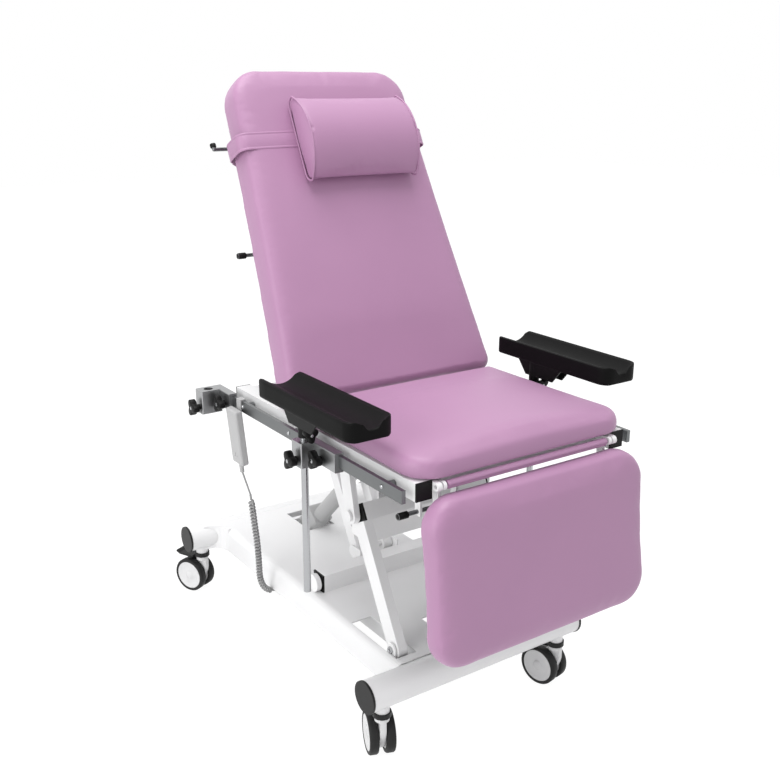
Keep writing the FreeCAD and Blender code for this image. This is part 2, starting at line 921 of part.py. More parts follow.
chassis = fuse(cross_tubes, *box_rails, foot_plate, gland, actuator_tie,
               *actuator_ears, *actuator_pins, *foot_ears)
keep(place(chassis), "base_chassis")

# Base cover: a pressed sheet shell, open below, with slots for the arms and a window for the actuator

cover = new_body("base_cover")
channel = sketch_on(cover, "XZ_Plane")
half, wall, curve = S.cover_half_width, S.cover_wall, S.cover_edge_radius
low, top = S.cover_bottom, S.cover_top
corners = []
for side, first, last in ((-1, 180, 90), (1, 90, 0)):
    corners += quarter_turn(side * (half - curve), top - curve, curve, first, last)
corners += [(half, low), (half - wall, low)]
for side, first, last in ((1, 0, 90), (-1, 90, 180)):
    corners += quarter_turn(side * (half - curve), top - curve, curve - wall, first, last)
corners += [(wall - half, low), (-half, low)]
outline(channel, corners)
pad(cover, channel, S.cover_half_length * 2, both_ways=True)
flare_start = S.cover_half_length - S.cover_flare
flare_corner = S.cover_half_width + S.cover_flare

flare_inside = S.cover_flare + S.cover_wall
for side in SIDES.values():
    plan = sketch_on(cover, "XY_Plane", low)
    middle = side * flare_corner
    first, last = (180, 90) if side > 0 else (0, 90)
    outline(plan, quarter_turn(middle, flare_start, S.cover_flare, first, last) + [
        (side * (half - curve), S.cover_half_length), (side * (half - curve), flare_start)])
    pad(cover, plan, top - low)
    plan = sketch_on(cover, "XY_Plane", low)
    first, last = first - side * S.flare_inside_turn, last + side * S.flare_inside_turn
    past = S.cover_half_length + S.overrun
    outline(plan, quarter_turn(middle, flare_start, flare_inside, first, last) + [
        (middle + cosine(last) * flare_inside, past), (side * half, past)])
    pocket(cover, plan, (top - low - wall) * 2)
openings = sketch_on(cover, "XY_Plane", S.cover_top)
for side in SIDES.values():
    low, high = (S.slot_inner, S.slot_outer) if side > 0 else (-S.slot_outer, -S.slot_inner)
    rectangle(openings, low, -S.slot_front, high, -S.slot_rear)
rectangle(openings, -S.front_cutout_half_width, -S.front_cutout_front, S.front_cutout_half_width,
          -S.front_cutout_rear)
rectangle(openings, -S.window_low, S.window_front, S.window_high, S.window_rear)
pocket(cover, openings, S.cover_edge_radius)
for way in (-1, 1):
    saddle = sketch_on(cover, "YZ_Plane")
    circle(saddle, way * S.caster_along, S.tube_level, S.tube_radius + S.running_gap * 6)
    pocket(cover, saddle, (S.cover_half_width + S.cover_flare) * 3)
keep(place(cover), "base_cover")

# Tube caps and swivel collars, each a group of four alike

caps, collars = [], []
for way in (-1, 1):
    along = way * S.caster_along
    for side in SIDES.values():
        start = S.tube_half_length if side > 0 else -S.tube_half_length - S.tube_cap_thickness
        disc = rod_across(S.tube_radius + S.tube_cap_lip, start, start + S.tube_cap_thickness, along,
                          S.tube_level)
        inner = S.tube_half_length - S.tube_cap_thickness * 2
        plug_start = inner if side > 0 else -inner - S.tube_cap_thickness * 2
        plug = rod_across(S.tube_radius - S.tube_wall, plug_start, plug_start + S.tube_cap_thickness * 2,
                          along, S.tube_level)
        caps.append(fuse(disc, plug))
        ring = rod(S.collar_radius, S.collar_height, side * S.caster_across, along, S.collar_bottom)
        hole = rod(S.stem_radius + S.running_gap, S.collar_height + S.overrun * 2, side * S.caster_across,
                   along,
                   S.collar_bottom - S.overrun)
        collars.append(cut(ring, hole))


group(caps, "tube_caps")
group(collars, "swivel_collars")

# Cross beam on the cover, with the rear link's lugs and a boss on a stub at each end

beam_half = S.cross_beam_half_length
beam_rear, beam_low = -S.beam_rear, S.cover_top
beam_front = beam_rear - S.cross_beam_height
beam_middle = beam_rear - S.cross_beam_height / 2
beam_level = beam_low + S.cross_beam_height / 2
wall = S.cross_beam_wall
beam = cut(
    box((-beam_half, beam_half), (beam_front, beam_rear), (beam_low, beam_low + S.cross_beam_height)),
    box((-beam_half - S.overrun, beam_half + S.overrun), (beam_front + wall, beam_rear - wall),
        (beam_low + wall, beam_low + S.cross_beam_height - wall)))
beam_parts = [beam]
for side in SIDES.values():
    start = beam_half - S.web_thickness * 3
    end = beam_half + S.cross_beam_cap + S.side_gap * 2 + S.cross_beam_boss_width
    beam_parts.append(rod_across(S.cross_beam_stub_radius, *ordered(side, start, end), beam_middle,
                                 beam_level))
    beam_parts.append(rod_across(S.cross_beam_boss_radius,
                                 *ordered(side, end - S.cross_beam_boss_width, end),
                                 beam_middle, beam_level))
    beam_parts.append(box(ordered(side, start, start + S.web_thickness),
                          (beam_middle - S.cross_beam_stub_radius, beam_middle + S.cross_beam_stub_radius),
                          (beam_low, beam_low + S.cross_beam_height)))
link_low = S.link_centre - S.link_half_width - S.side_gap - S.link_lug_thickness
link_high = S.link_centre + S.link_half_width + S.side_gap + S.link_lug_thickness
lug_places = ((link_low, link_low + S.link_lug_thickness), (link_high - S.link_lug_thickness, link_high))
for across in lug_places:
    beam_parts.append(box(across, (beam_rear - wall, S.link_foot_along),
                          (beam_low, S.link_foot_level + S.ear_radius)))
    beam_parts.append(rod_across(S.ear_radius, *across, S.link_foot_along, S.link_foot_level))
beam_parts.append(rod_across(S.foot_pin_radius, link_low, link_high, S.link_foot_along, S.link_foot_level))
keep(place(fuse(*beam_parts)), "cross_beam")

beam_caps = []
for side in SIDES.values():
    across = ordered(side, beam_half, beam_half + S.cross_beam_cap)
    plate = box(across, (beam_front, beam_rear), (beam_low, beam_low + S.cross_beam_height))
    hole = rod_across(S.cross_beam_stub_radius + S.running_gap,
                      *ordered(side, beam_half - S.overrun, beam_half + S.overrun * 2),
                      beam_middle, beam_level)
    beam_caps.append(cut(plate, hole))
group(beam_caps, "cross_beam_caps")

# Lift arms, in their own frame: along the arm from its foot pin, with a box tube across their heads

arm_rise = S.head_level - S.foot_level
arm_run = S.foot_along - S.head_along
arm_length = distance(arm_run, arm_rise)
arm_slope = slope_angle(arm_run, arm_rise)
arm_end = arm_length - S.head_tube_height / 2
tube_end = S.arm_outer - S.head_cap_thickness
half_width = S.head_tube_width / 2
pin_end = S.hanger_inner + S.hanger_thickness + S.side_gap
arm_bars, arm_bores = [], []
for side in SIDES.values():
    across = ordered(side, S.arm_outer - S.arm_thickness, S.arm_outer)
    arm_bars.append(box(across, (0, arm_end), (-S.arm_width / 2, S.arm_width / 2)))
    arm_bars.append(rod_across(S.arm_width / 2, *across, 0, 0))
    arm_bores.append(rod_across(S.foot_pin_radius + S.running_gap, across[0] - S.overrun,
                                across[1] + S.overrun, 0, 0))
    arm_bars.append(rod_across(S.head_pin_head_radius, *ordered(side, pin_end, pin_end + S.head_pin_head),
                               arm_length, 0))
    arm_bars.append(box(ordered(side, tube_end - S.web_thickness * 2, tube_end - S.web_thickness),
                        (arm_length - S.head_pin_radius, arm_length + S.head_pin_radius),
                        (-half_width, half_width)))
head_tube = cut(
    box((-tube_end, tube_end), (arm_end, arm_end + S.head_tube_height), (-half_width, half_width)),
    box((-tube_end - S.overrun, tube_end + S.overrun),
        (arm_end + S.tube_sheet, arm_end + S.head_tube_height - S.tube_sheet),
        (S.tube_sheet - half_width, half_width - S.tube_sheet)))
arm_bars.append(rod_across(S.head_pin_radius, -pin_end - S.side_gap, pin_end + S.side_gap, arm_length, 0))
arms = cut(fuse(head_tube, *arm_bars), *arm_bores)
keep(place(arms, 0, -S.foot_along, S.foot_level, Vector(1, 0, 0), arm_slope), "lift_arms")

arm_caps = []
for side in SIDES.values():
    plate = box(ordered(side, tube_end, S.arm_outer), (arm_end, arm_end + S.head_tube_height),
                (-half_width, half_width))
    hole = rod_across(S.head_pin_radius + S.running_gap,
                      *ordered(side, tube_end - S.overrun, S.arm_outer + S.overrun),
                      arm_length, 0)
    arm_caps.append(cut(plate, hole))
whole = doc.addObject("Part::Compound", "group")
whole.Links = arm_caps
keep(place(whole, 0, -S.foot_along, S.foot_level, Vector(1, 0, 0), arm_slope), "lift_arm_caps")

# Rear link, in its own frame along the link

link_parts, link_bores = [], []
for side in SIDES.values():
    edge = S.link_centre + side * S.link_half_width
    across = ordered(side, S.link_half_width - S.link_bar_thickness, S.link_half_width)
    across = (S.link_centre + across[0], S.link_centre + across[1])
    link_parts.append(box(across, (0, arm_length), (-S.link_bar_width / 2, S.link_bar_width / 2)))
    for at in (as_size(0), arm_length):
        link_parts.append(rod_across(S.link_bar_width / 2, *across, at, 0))
        link_bores.append(rod_across(S.foot_pin_radius + S.running_gap, across[0] - S.overrun,
                                     across[1] + S.overrun, at, 0))
link_parts.append(box((S.link_centre - S.link_half_width, S.link_centre + S.link_half_width),
                      (arm_length * S.link_tie_low_share, arm_length * S.link_tie_high_share),
                      (-S.link_bar_thickness / 2, S.link_bar_thickness / 2)))
keep(place(cut(fuse(*link_parts), *link_bores), 0, S.link_foot_along, S.link_foot_level, Vector(1, 0, 0),
           arm_slope),
     "rear_link")

# Lift actuator: a motor housing and tube that tilt on the base, and a rod that slides in the tube

lift_run = -(S.actuator_foot_along + S.actuator_head_along)
lift_rise = S.actuator_head_level - S.actuator_foot_level
lift_length = distance(lift_run, lift_rise)
lift_slope = slope_angle(lift_run, lift_rise)
eye = (S.link_centre - S.actuator_eye_width / 2, S.link_centre + S.actuator_eye_width / 2)
gear = box((S.link_centre - S.actuator_gear_half_width, S.link_centre + S.actuator_gear_half_width),
           (S.actuator_gear_start, S.actuator_gear_end), (-S.actuator_gear_high, S.actuator_gear_low))
gear = rounded(gear, S.actuator_gear_round, lambda edge: not runs_along(edge, Vector(0, 0, 1)))
neck = box(eye, (0, S.actuator_gear_start + S.overrun), (-S.actuator_eye_radius, S.actuator_eye_radius))
round_eye = rod_across(S.actuator_eye_radius, *eye, 0, 0)
tube = rod(S.actuator_tube_radius, S.actuator_tube_length - S.actuator_gear_end + S.overrun, S.link_centre,
           S.actuator_gear_end - S.overrun, 0, TO_Y)
tube_bore = rod(S.actuator_rod_radius + S.running_gap, S.actuator_tube_length - S.actuator_gear_start,
                S.link_centre,
                S.actuator_gear_start + S.actuator_wall * 4, 0, TO_Y)
pin_bore = rod_across(S.actuator_pin_radius + S.running_gap, eye[0] - S.overrun, eye[1] + S.overrun, 0, 0)
keep(place(cut(fuse(gear, neck, round_eye, tube), tube_bore, pin_bore), 0, S.actuator_foot_along,
           S.actuator_foot_level,
           Vector(1, 0, 0), lift_slope), "actuator_body")
rod_start = S.actuator_rod_inside
piston = rod(S.actuator_rod_radius, lift_length - rod_start, S.link_centre, rod_start, 0, TO_Y)
rod_eye = rod_across(S.actuator_eye_radius, *eye, lift_length, 0)
keep(place(fuse(piston, rod_eye), 0, S.actuator_foot_along, S.actuator_foot_level, Vector(1, 0, 0),
           lift_slope),
     "actuator_rod")

# Seat frame: side tubes, ties, hanger legs to the lift arms, plates for the rear link and the actuator


def box_tube(across, along, up, through):
    """A rectangular tube whose hollow runs out of both ends along one axis."""
    wall, over = S.tube_sheet, S.overrun
    inner = []
    for axis, span in zip("xyz", (across, along, up)):
        low, high = as_size(span[0]), as_size(span[1])
        inner.append((low - over, high + over) if axis == through else (low + wall, high - wall))
    return cut(box(across, along, up), box(*inner))


frame_low = S.frame_top - S.frame_tube
frame_outer = S.frame_side_across + S.frame_tube / 2
frame_inner = S.frame_side_across - S.frame_tube / 2
frame_parts = []
for side in SIDES.values():
    frame_parts.append(box_tube(ordered(side, frame_inner, frame_outer), (-S.frame_front, S.frame_rear),
                                (frame_low, S.frame_top), "y"))
tie_half = S.frame_tube / 2
across = (-frame_inner - S.tube_sheet / 2, frame_inner + S.tube_sheet / 2)
for middle in (S.frame_front_tie, S.hanger_top_along):
    frame_parts.append(box_tube(across, (-middle - tie_half, tie_half - middle), (S.tie_low, S.tie_high),
                                "x"))
frame_parts.append(box_tube(across, (S.rear_tie_front, S.frame_rear), (S.tie_low, S.tie_high), "x"))
frame_parts.append(box_tube(across, (-S.actuator_head_along - S.back_tube / 2,
                                     S.back_tube / 2 - S.actuator_head_along),
                            (S.mount_tie_low, S.mount_tie_high), "x"))
frame_bores = []


def hanging_plate(across, top, foot, width):
    """A flat plate with round ends that hangs from one point of the side view to another."""
    run, rise = as_size(foot[0]) - top[0], as_size(foot[1]) - top[1]
    length = distance(run, rise)
    plate = box(across, (0, length), (-width / 2, width / 2))
    whole = fuse(plate, rod_across(width / 2, *across, 0, 0), rod_across(width / 2, *across, length, 0))
    angle = slope_angle(run, rise)
    settle(whole, 0, top[0], top[1], Rotation(Vector(1, 0, 0), angle.value))
    whole.setExpression("Placement.Rotation.Angle", angle.text)
    return whole


link_head = (S.link_foot_along + arm_run, S.link_foot_level + arm_rise)
actuator_head = (-S.actuator_head_along, S.actuator_head_level)
for side in SIDES.values():
    across = ordered(side, S.hanger_inner, S.hanger_inner + S.hanger_thickness)
    frame_parts.append(hanging_plate(across, (-S.hanger_top_along, S.hanger_top_level),
                                     (-S.head_along, S.head_level),
                                     S.hanger_width))
    frame_bores.append(rod_across(S.head_pin_radius + S.running_gap, across[0] - S.overrun,
                                  across[1] + S.overrun,
                                  -S.head_along, S.head_level))
    near = S.actuator_eye_width / 2 + S.side_gap + S.actuator_mount_gap
    plate = ordered(side, near, near + S.actuator_mount_plate)
    plate = (S.link_centre + plate[0], S.link_centre + plate[1])
    frame_parts.append(hanging_plate(plate, (-S.actuator_head_along,
                                             S.mount_tie_low + S.actuator_mount_low),
                                     actuator_head, S.link_bar_width))
    stub = ordered(side, S.actuator_eye_width / 2 + S.side_gap, near + S.side_gap)
    frame_parts.append(rod_across(S.actuator_pin_radius, S.link_centre + stub[0], S.link_centre + stub[1],
                                  *actuator_head))
for across in lug_places:
    frame_parts.append(hanging_plate(across, (S.rear_tie_front + S.frame_tube,
                                              S.tie_low + S.hanger_thickness), link_head,
                                     S.ear_radius * 2))
frame_parts.append(rod_across(S.foot_pin_radius, link_low, link_high, *link_head))

# Back hinge pins, in front of the rear tie
up_way, out_way = frame_axes(S.back_tilt)
behind = S.back_thickness + S.soft_gap + S.back_tube / 2
hinge_along = -S.seat_junction_along + up_way[0] * S.back_hinge_up - out_way[0] * behind
hinge_level = S.seat_junction_level + up_way[1] * S.back_hinge_up - out_way[1] * behind
for side in SIDES.values():
    frame_parts.append(rod_across(S.hinge_pin_radius,
                                  *ordered(side, S.back_pin_inner, frame_inner + S.tube_sheet),
                                  hinge_along, hinge_level))
    across = ordered(side, S.leg_seat_lug_inner, frame_inner)
    frame_parts.append(box(across, (-S.roll_along, -S.frame_front + S.tube_sheet * 4),
                           (S.roll_level - S.leg_lug_radius, S.roll_level + S.leg_lug_radius)))
    frame_parts.append(rod_across(S.leg_lug_radius, *across, -S.roll_along, S.roll_level))
    frame_bores.append(rod_across(S.leg_pin_radius + S.running_gap, across[0] - S.overrun,
                                  across[1] + S.overrun,
                                  -S.roll_along, S.roll_level))
for edge in (S.lever_lug_inner, S.lever_lug_outer):
    frame_parts.append(box((-edge - S.lever_lug_thickness, -edge),
                           (-S.lever_along - S.lever_lug_radius, S.lever_lug_radius - S.lever_along),
                           (S.lever_level - S.lever_lug_radius, S.tie_low + S.tube_sheet)))
    frame_bores.append(rod_across(S.lever_radius + S.running_gap, -edge - S.lever_lug_thickness - S.overrun,
                                  S.overrun - edge,
                                  -S.lever_along, S.lever_level))
keep(place(cut(fuse(*frame_parts), *frame_bores)), "seat_frame")

frame_caps = []
for side in SIDES.values():
    for end in ((-S.frame_front - S.frame_cap, -S.frame_front), (S.frame_rear, S.frame_rear + S.frame_cap)):
        frame_caps.append(box(ordered(side, frame_inner, frame_outer), end, (frame_low, S.frame_top)))
group(frame_caps, "seat_frame_caps")

# Side rails on round spacers

rails = []
for side in SIDES.values():
    rails.append(box(ordered(side, S.rail_inner, S.rail_inner + S.rail_thickness),
                     (-S.rail_front, S.rail_rear),
                     (S.rail_level - S.rail_height / 2, S.rail_level + S.rail_height / 2)))
    for along in (-S.rail_spacer_front, -S.rail_spacer_middle, S.rail_spacer_rear):
        rails.append(rod_across(S.rail_spacer_radius, *ordered(side, frame_outer, S.rail_inner), along,
                                S.rail_level))
rail_groups = [fuse(*rails[:4]), fuse(*rails[4:])]
group(rail_groups, "side_rails")

# Front roll on its pins, control box and the leg rest's release lever

roll = rod_across(S.roll_radius, -S.roll_half_length, S.roll_half_length, -S.roll_along, S.roll_level)
roll_pin = rod_across(S.leg_pin_radius, -frame_inner, frame_inner, -S.roll_along, S.roll_level)
keep(place(fuse(roll, roll_pin)), "front_roll")

control = box((-S.box_half_width, S.box_half_width), (-S.box_front, -S.box_rear), (S.box_bottom, S.box_top))
control = rounded(control, S.box_round, lambda edge: True)
straps = []
for side in SIDES.values():
    middle = side * S.box_strap_across
    straps.append(box((middle - S.box_strap_width / 2, middle + S.box_strap_width / 2),
                      (-S.box_strap_front, S.box_strap_thickness - S.box_strap_front),
                      (S.box_top - S.box_round, S.tie_low)))
keep(place(fuse(control, *straps)), "control_box")

lever = rod_across(S.lever_radius, -S.lever_outer, -S.lever_inner, -S.lever_along, S.lever_level)
lever_tip = rod_across(S.lever_tip_radius, -S.lever_outer, S.lever_tip_length - S.lever_outer,
                       -S.lever_along, S.lever_level)
keep(place(fuse(lever, lever_tip)), "leg_release_lever")

# Back frame, in the back's own frame: up along the back, and behind it

back_parts, back_bores = [], []
tube_near = S.back_thickness + S.soft_gap
tube_far = tube_near + S.back_tube
for side in SIDES.values():
    across = ordered(side, S.back_tube_across - S.back_tube / 2, S.back_tube_across + S.back_tube / 2)
    back_parts.append(box_tube(across, (tube_near, tube_far), (0, S.back_tube_top), "z"))
    back_parts.append(rod_across(S.back_tube / 2, *across, behind, S.back_hinge_up))
    back_parts.append(box(across, (tube_near, tube_far), (S.back_hinge_up, S.web_thickness)))
    back_bores.append(rod_across(S.hinge_pin_radius + S.running_gap, across[0] - S.overrun,
                                 across[1] + S.overrun,
                                 behind, S.back_hinge_up))
half = S.back_tube_across - S.back_tube / 2 + S.tube_sheet / 2
for level in (S.back_tie_low, S.back_tie_high):
    back_parts.append(box_tube((-half, half), (tube_near, tube_far),
                               (level - S.back_tube / 2, level + S.back_tube / 2), "x"))
for level in (S.release_lower, S.release_upper):
    across = (-S.back_tube_across - S.back_tube / 2, S.back_tube / 2 - S.back_tube_across)
    back_parts.append(box(across, (tube_far, S.release_behind + S.release_block),
                          (level - S.release_block, level + S.release_block)))
    back_bores.append(rod_across(S.release_radius + S.running_gap, across[0] - S.overrun,
                                 across[1] + S.overrun,
                                 S.release_behind, level))
lean = -S.back_tilt


def on_back(obj, label):
    return keep(place(obj, 0, -S.seat_junction_along, S.seat_junction_level, Vector(1, 0, 0), lean), label)


on_back(cut(fuse(*back_parts), *back_bores), "back_frame")
upper_rod = rod_across(S.release_radius, -S.release_upper_reach, -S.release_inner, S.release_behind,
                       S.release_upper)
bend = rod(S.release_radius, S.release_bend, -S.release_upper_reach, S.release_behind, S.release_upper)
corner = doc.addObject("Part::Sphere", "elbow")
bind(corner, Radius=S.release_radius)
settle(corner, -S.release_upper_reach, S.release_behind, S.release_upper)
tip = rod(S.release_tip_radius, S.release_upper_tip, -S.release_upper_reach, S.release_behind,
          S.release_upper + S.release_bend)
on_back(fuse(upper_rod, bend, corner, tip), "back_release_upper")
lower_rod = rod_across(S.release_radius, S.release_tip_length - S.release_lower_reach - S.overrun,
                       -S.release_inner,
                       S.release_behind, S.release_lower)
tip = rod_across(S.release_tip_radius, -S.release_lower_reach, S.release_tip_length - S.release_lower_reach,
                 S.release_behind, S.release_lower)
on_back(fuse(lower_rod, tip), "back_release_lower")

# Leg rest frame, in the leg rest's own frame: down is minus Z and behind is plus Y

leg_lean = -S.leg_tilt
leg_run = S.leg_top_along - S.roll_along
leg_rise = S.roll_level - S.leg_top_level
pivot_behind = leg_run * cosine(S.leg_tilt) - leg_rise * sine(S.leg_tilt)
pivot_up = leg_run * sine(S.leg_tilt) + leg_rise * cosine(S.leg_tilt)
leg_near = S.leg_thickness + S.soft_gap
leg_far = leg_near + S.leg_tube
leg_parts, leg_bores = [], []
for side in SIDES.values():
    across = ordered(side, S.leg_tube_across - S.leg_tube / 2, S.leg_tube_across + S.leg_tube / 2)
    leg_parts.append(box_tube(across, (leg_near, leg_far), (-S.leg_tube_bottom, -S.leg_tube_top), "z"))
    lug = ordered(side, S.leg_lug_inner, S.leg_lug_inner + S.leg_lug_thickness)
    elbow = (leg_near + S.leg_tube / 2, pivot_up)
    leg_parts.append(hanging_plate(lug, (elbow[0], -S.leg_tube_top - S.leg_tube), elbow,
                                   S.leg_lug_radius * 2))
    leg_parts.append(hanging_plate(lug, elbow, (pivot_behind, pivot_up), S.leg_lug_radius * 2))
    leg_bores.append(rod_across(S.leg_pin_radius + S.running_gap, lug[0] - S.overrun, lug[1] + S.overrun,
                                pivot_behind, pivot_up))
half = S.leg_tube_across - S.leg_tube / 2 + S.tube_sheet / 2
for level in (S.leg_tie_low, S.leg_tie_high):
    leg_parts.append(box_tube((-half, half), (leg_near, leg_far),
                              (-level - S.leg_tube / 2, S.leg_tube / 2 - level), "x"))
keep(place(cut(fuse(*leg_parts), *leg_bores), 0, -S.leg_top_along, S.leg_top_level, Vector(1, 0, 0),
           leg_lean), "leg_frame")

ACROSS = Vector(0, 1, 0)
ALONG = Vector(1, 0, 0)
RIGHT_ANGLE = 90

# Arm supports, one on each side: clamp, post, bracket and pad with three knobs

for side_name, side in SIDES.items():
    body_across = ordered(side, S.clamp_inner, S.clamp_outer)
    collar_across = ordered(side, S.collar_inner, S.collar_outer)
    post = (side * S.post_across, -S.post_along)
    clamp_body = box(body_across, (-S.clamp_front, -S.clamp_rear), (S.clamp_bottom, S.clamp_top))
    clamp_body = rounded(clamp_body, S.clamp_round, lambda edge: runs_along(edge, Vector(0, 1, 0)))
    collar = box(collar_across, (-S.post_along - S.collar_half_length, S.collar_half_length - S.post_along),
                 (S.collar_low, S.collar_high))
    collar = rounded(collar, S.clamp_round, lambda edge: runs_along(edge, Vector(0, 0, 1)))
    rail_hole = rail_slot(side, -S.clamp_front - S.overrun, S.overrun - S.clamp_rear)
    post_hole = rod(S.post_radius + S.running_gap, S.collar_high - S.collar_low + S.overrun * 2, *post,
                    S.collar_low - S.overrun)
    post_screw = rod_across(S.knob_screw_radius + S.running_gap,
                            *ordered(side, S.post_across, S.collar_outer + S.overrun),
                            -S.post_along, S.post_knob_level)
    rail_screw = rod_across(S.knob_screw_radius + S.running_gap,
                            *ordered(side, S.rail_inner + S.rail_thickness, S.clamp_outer + S.overrun),
                            -S.rail_knob_along, S.rail_knob_level)
    keep(place(cut(fuse(clamp_body, collar), rail_hole, post_hole, post_screw, rail_screw)),
         f"arm_clamp_{side_name}")
    keep(place(rod(S.post_radius, S.post_top - S.post_bottom, 0, 0, 0), *post, S.post_bottom),
         f"arm_post_{side_name}")

    bracket_parts = []
    inner, outer = S.post_across - S.bracket_half_width, S.post_across + S.bracket_half_width
    inner, outer = inner + S.pad_across - S.post_across, outer + S.pad_across - S.post_across
    for low, high in ((inner, inner + S.bracket_plate), (outer - S.bracket_plate, outer)):
        bracket_parts.append(trapezoid(ordered(side, low, high)))
    top_half = S.bracket_top_length / 2
    bracket_parts.append(box(ordered(side, inner, outer),
                             (-S.bracket_along - top_half, top_half - S.bracket_along),
                             (S.bracket_top - S.bracket_plate, S.bracket_top)))
    bracket_parts.append(rod(S.socket_outer_radius, S.bracket_top - S.socket_bottom, *post,
                             S.socket_bottom))
    socket = rod(S.post_radius + S.running_gap, S.post_top - S.socket_bottom + S.overrun, *post,
                 S.socket_bottom - S.overrun)
    swivel_screw = rod(S.knob_screw_radius + S.running_gap, S.socket_outer_radius + S.overrun, post[0],
                       post[1] - S.socket_outer_radius - S.overrun, S.swivel_knob_level, TO_Y)
    keep(place(cut(fuse(*bracket_parts), socket, swivel_screw)), f"arm_bracket_{side_name}")

    pad_across = (side * S.pad_across - S.pad_half_width, side * S.pad_across + S.pad_half_width)
    block = box(pad_across, (-S.pad_front, -S.pad_rear), (S.pad_bottom, S.pad_top))
    front_line = -float(S.pad_front) + 1
    block = rounded(block, S.pad_front_corner,
                    lambda edge: runs_along(edge, Vector(0, 0, 1)) and edge.BoundBox.YMax < front_line)
    channel_half = S.pad_half_width - S.pad_rim
    radius = (channel_half * channel_half + S.pad_hollow * S.pad_hollow) / (S.pad_hollow * 2)
    channel = rod(radius, S.pad_front - S.pad_rear + S.overrun * 2, side * S.pad_across,
                  -S.pad_front - S.overrun,
                  S.pad_top - S.pad_hollow + radius, TO_Y)
    keep(place(cut(block, channel)), f"arm_pad_{side_name}")

    turn = side * RIGHT_ANGLE
    spot = (side * S.clamp_outer, -S.rail_knob_along, S.rail_knob_level)
    keep(knob_at(spot, ACROSS, turn, S.clamp_outer - S.rail_inner - S.rail_thickness - S.soft_gap),
         f"arm_knob_rail_{side_name}")
    spot = (side * S.collar_outer, -S.post_along, S.post_knob_level)
    keep(knob_at(spot, ACROSS, turn, S.collar_outer - S.post_across - S.post_radius - S.soft_gap),
         f"arm_knob_post_{side_name}")
    spot = (post[0], post[1] - S.socket_outer_radius, S.swivel_knob_level)
    screw = S.socket_outer_radius - S.post_radius - S.soft_gap
    keep(knob_at(spot, ALONG, RIGHT_ANGLE, screw, S.swivel_knob_share), f"arm_knob_swivel_{side_name}")

# Pole clamp at the rear of the right rail

side = SIDES["right"]
clamp_body = box(ordered(side, S.clamp_inner, S.clamp_outer), (S.pole_clamp_front, S.pole_clamp_rear),
                 (S.clamp_bottom, S.clamp_top))
clamp_body = rounded(clamp_body, S.clamp_round, lambda edge: runs_along(edge, Vector(0, 1, 0)))
collar = box(ordered(side, S.collar_inner, S.pole_collar_outer), (S.pole_collar_front, S.pole_clamp_rear),
             (S.pole_collar_low, S.clamp_top))
collar = rounded(collar, S.clamp_round, lambda edge: runs_along(edge, Vector(0, 0, 1)))
pole = (side * S.pole_across, S.pole_along)
pole_hole = rod(S.pole_radius, S.clamp_top - S.pole_collar_low + S.overrun * 2, *pole,
                S.pole_collar_low - S.overrun)
pole_screw = rod_across(S.knob_screw_radius + S.running_gap,
                        *ordered(side, S.pole_across, S.pole_collar_outer + S.overrun),
                        S.pole_along, S.pole_knob_level)
rail_screw = rod_across(S.knob_screw_radius + S.running_gap,
                        *ordered(side, S.rail_inner + S.rail_thickness, S.clamp_outer + S.overrun),
                        S.pole_rail_knob_along, S.rail_knob_level)
rail_hole = rail_slot(side, S.pole_clamp_front - S.overrun, S.pole_clamp_rear + S.overrun)
keep(place(cut(fuse(clamp_body, collar), rail_hole, pole_hole, pole_screw, rail_screw)), "pole_clamp")
spot = (side * S.clamp_outer, S.pole_rail_knob_along, S.rail_knob_level)
keep(knob_at(spot, ACROSS, -RIGHT_ANGLE, S.clamp_outer - S.rail_inner - S.rail_thickness - S.soft_gap),
     "pole_knob_rail")
spot = (side * S.pole_collar_outer, S.pole_along, S.pole_knob_level)
keep(knob_at(spot, ACROSS, -RIGHT_ANGLE, S.pole_collar_outer - S.pole_across - S.pole_radius - S.soft_gap),
     "pole_knob_pole")

# Handset with a hook over the rail, a raised rear face with two buttons and a strain relief

thick, width = S.handset_thickness / 2, S.handset_width / 2
case = box((-thick, thick), (-width, width), (-S.handset_length, 0))
case = rounded(case, S.handset_corner, lambda edge: True)
relief = rod(S.relief_radius, S.relief_length + S.overrun, 0, 0, -S.handset_length - S.relief_length)
pockets = [rod_across(S.button_radius + S.running_gap, thick - S.button_pocket, thick + S.overrun, 0,
                      -level)
           for level in (S.button_upper, S.button_lower)]
mark = triangle(-thick - S.overrun, S.mark_depth - thick)
grip = cut(fuse(case, relief), *pockets, mark)
lean_turn = Rotation(Vector(0, 1, 0), -float(S.handset_lean))
settle(grip, -S.handset_across, S.handset_along, S.handset_top, lean_turn)
hook_outer, hook_inner = -S.rail_inner - S.rail_thickness, -S.rail_inner
hook_along = (S.handset_along - S.hook_width / 2, S.handset_along + S.hook_width / 2)
rail_top = S.rail_level + S.rail_height / 2
hook = [
    box((hook_outer - S.hook_wall - S.soft_gap, hook_outer - S.soft_gap), hook_along,
        (S.hook_low, rail_top + S.hook_wall)),
    box((hook_outer - S.hook_wall - S.soft_gap, hook_inner + S.hook_wall + S.soft_gap), hook_along,
        (rail_top, rail_top + S.hook_wall)),
    box((hook_inner + S.soft_gap, hook_inner + S.hook_wall + S.soft_gap), hook_along,
        (rail_top - S.hook_depth, rail_top + S.hook_wall)),
]
keep(place(fuse(grip, *hook)), "handset")
lean_x, lean_z = sine(S.handset_lean), cosine(S.handset_lean)
for name, level in (("up", S.button_upper), ("down", S.button_lower)):
    start = thick - S.button_seat
    across = -S.handset_across + lean_x * level + lean_z * start
    up = S.handset_top - lean_z * level + lean_x * start
    button = rod(S.button_radius, S.button_seat + S.button_rise, 0, 0, 0)
    keep(place(button, across, S.handset_along, up, Vector(0, 1, 0), RIGHT_ANGLE - S.handset_lean),
         f"handset_button_{name}")

# Cushions, formed from the sheet's sizes

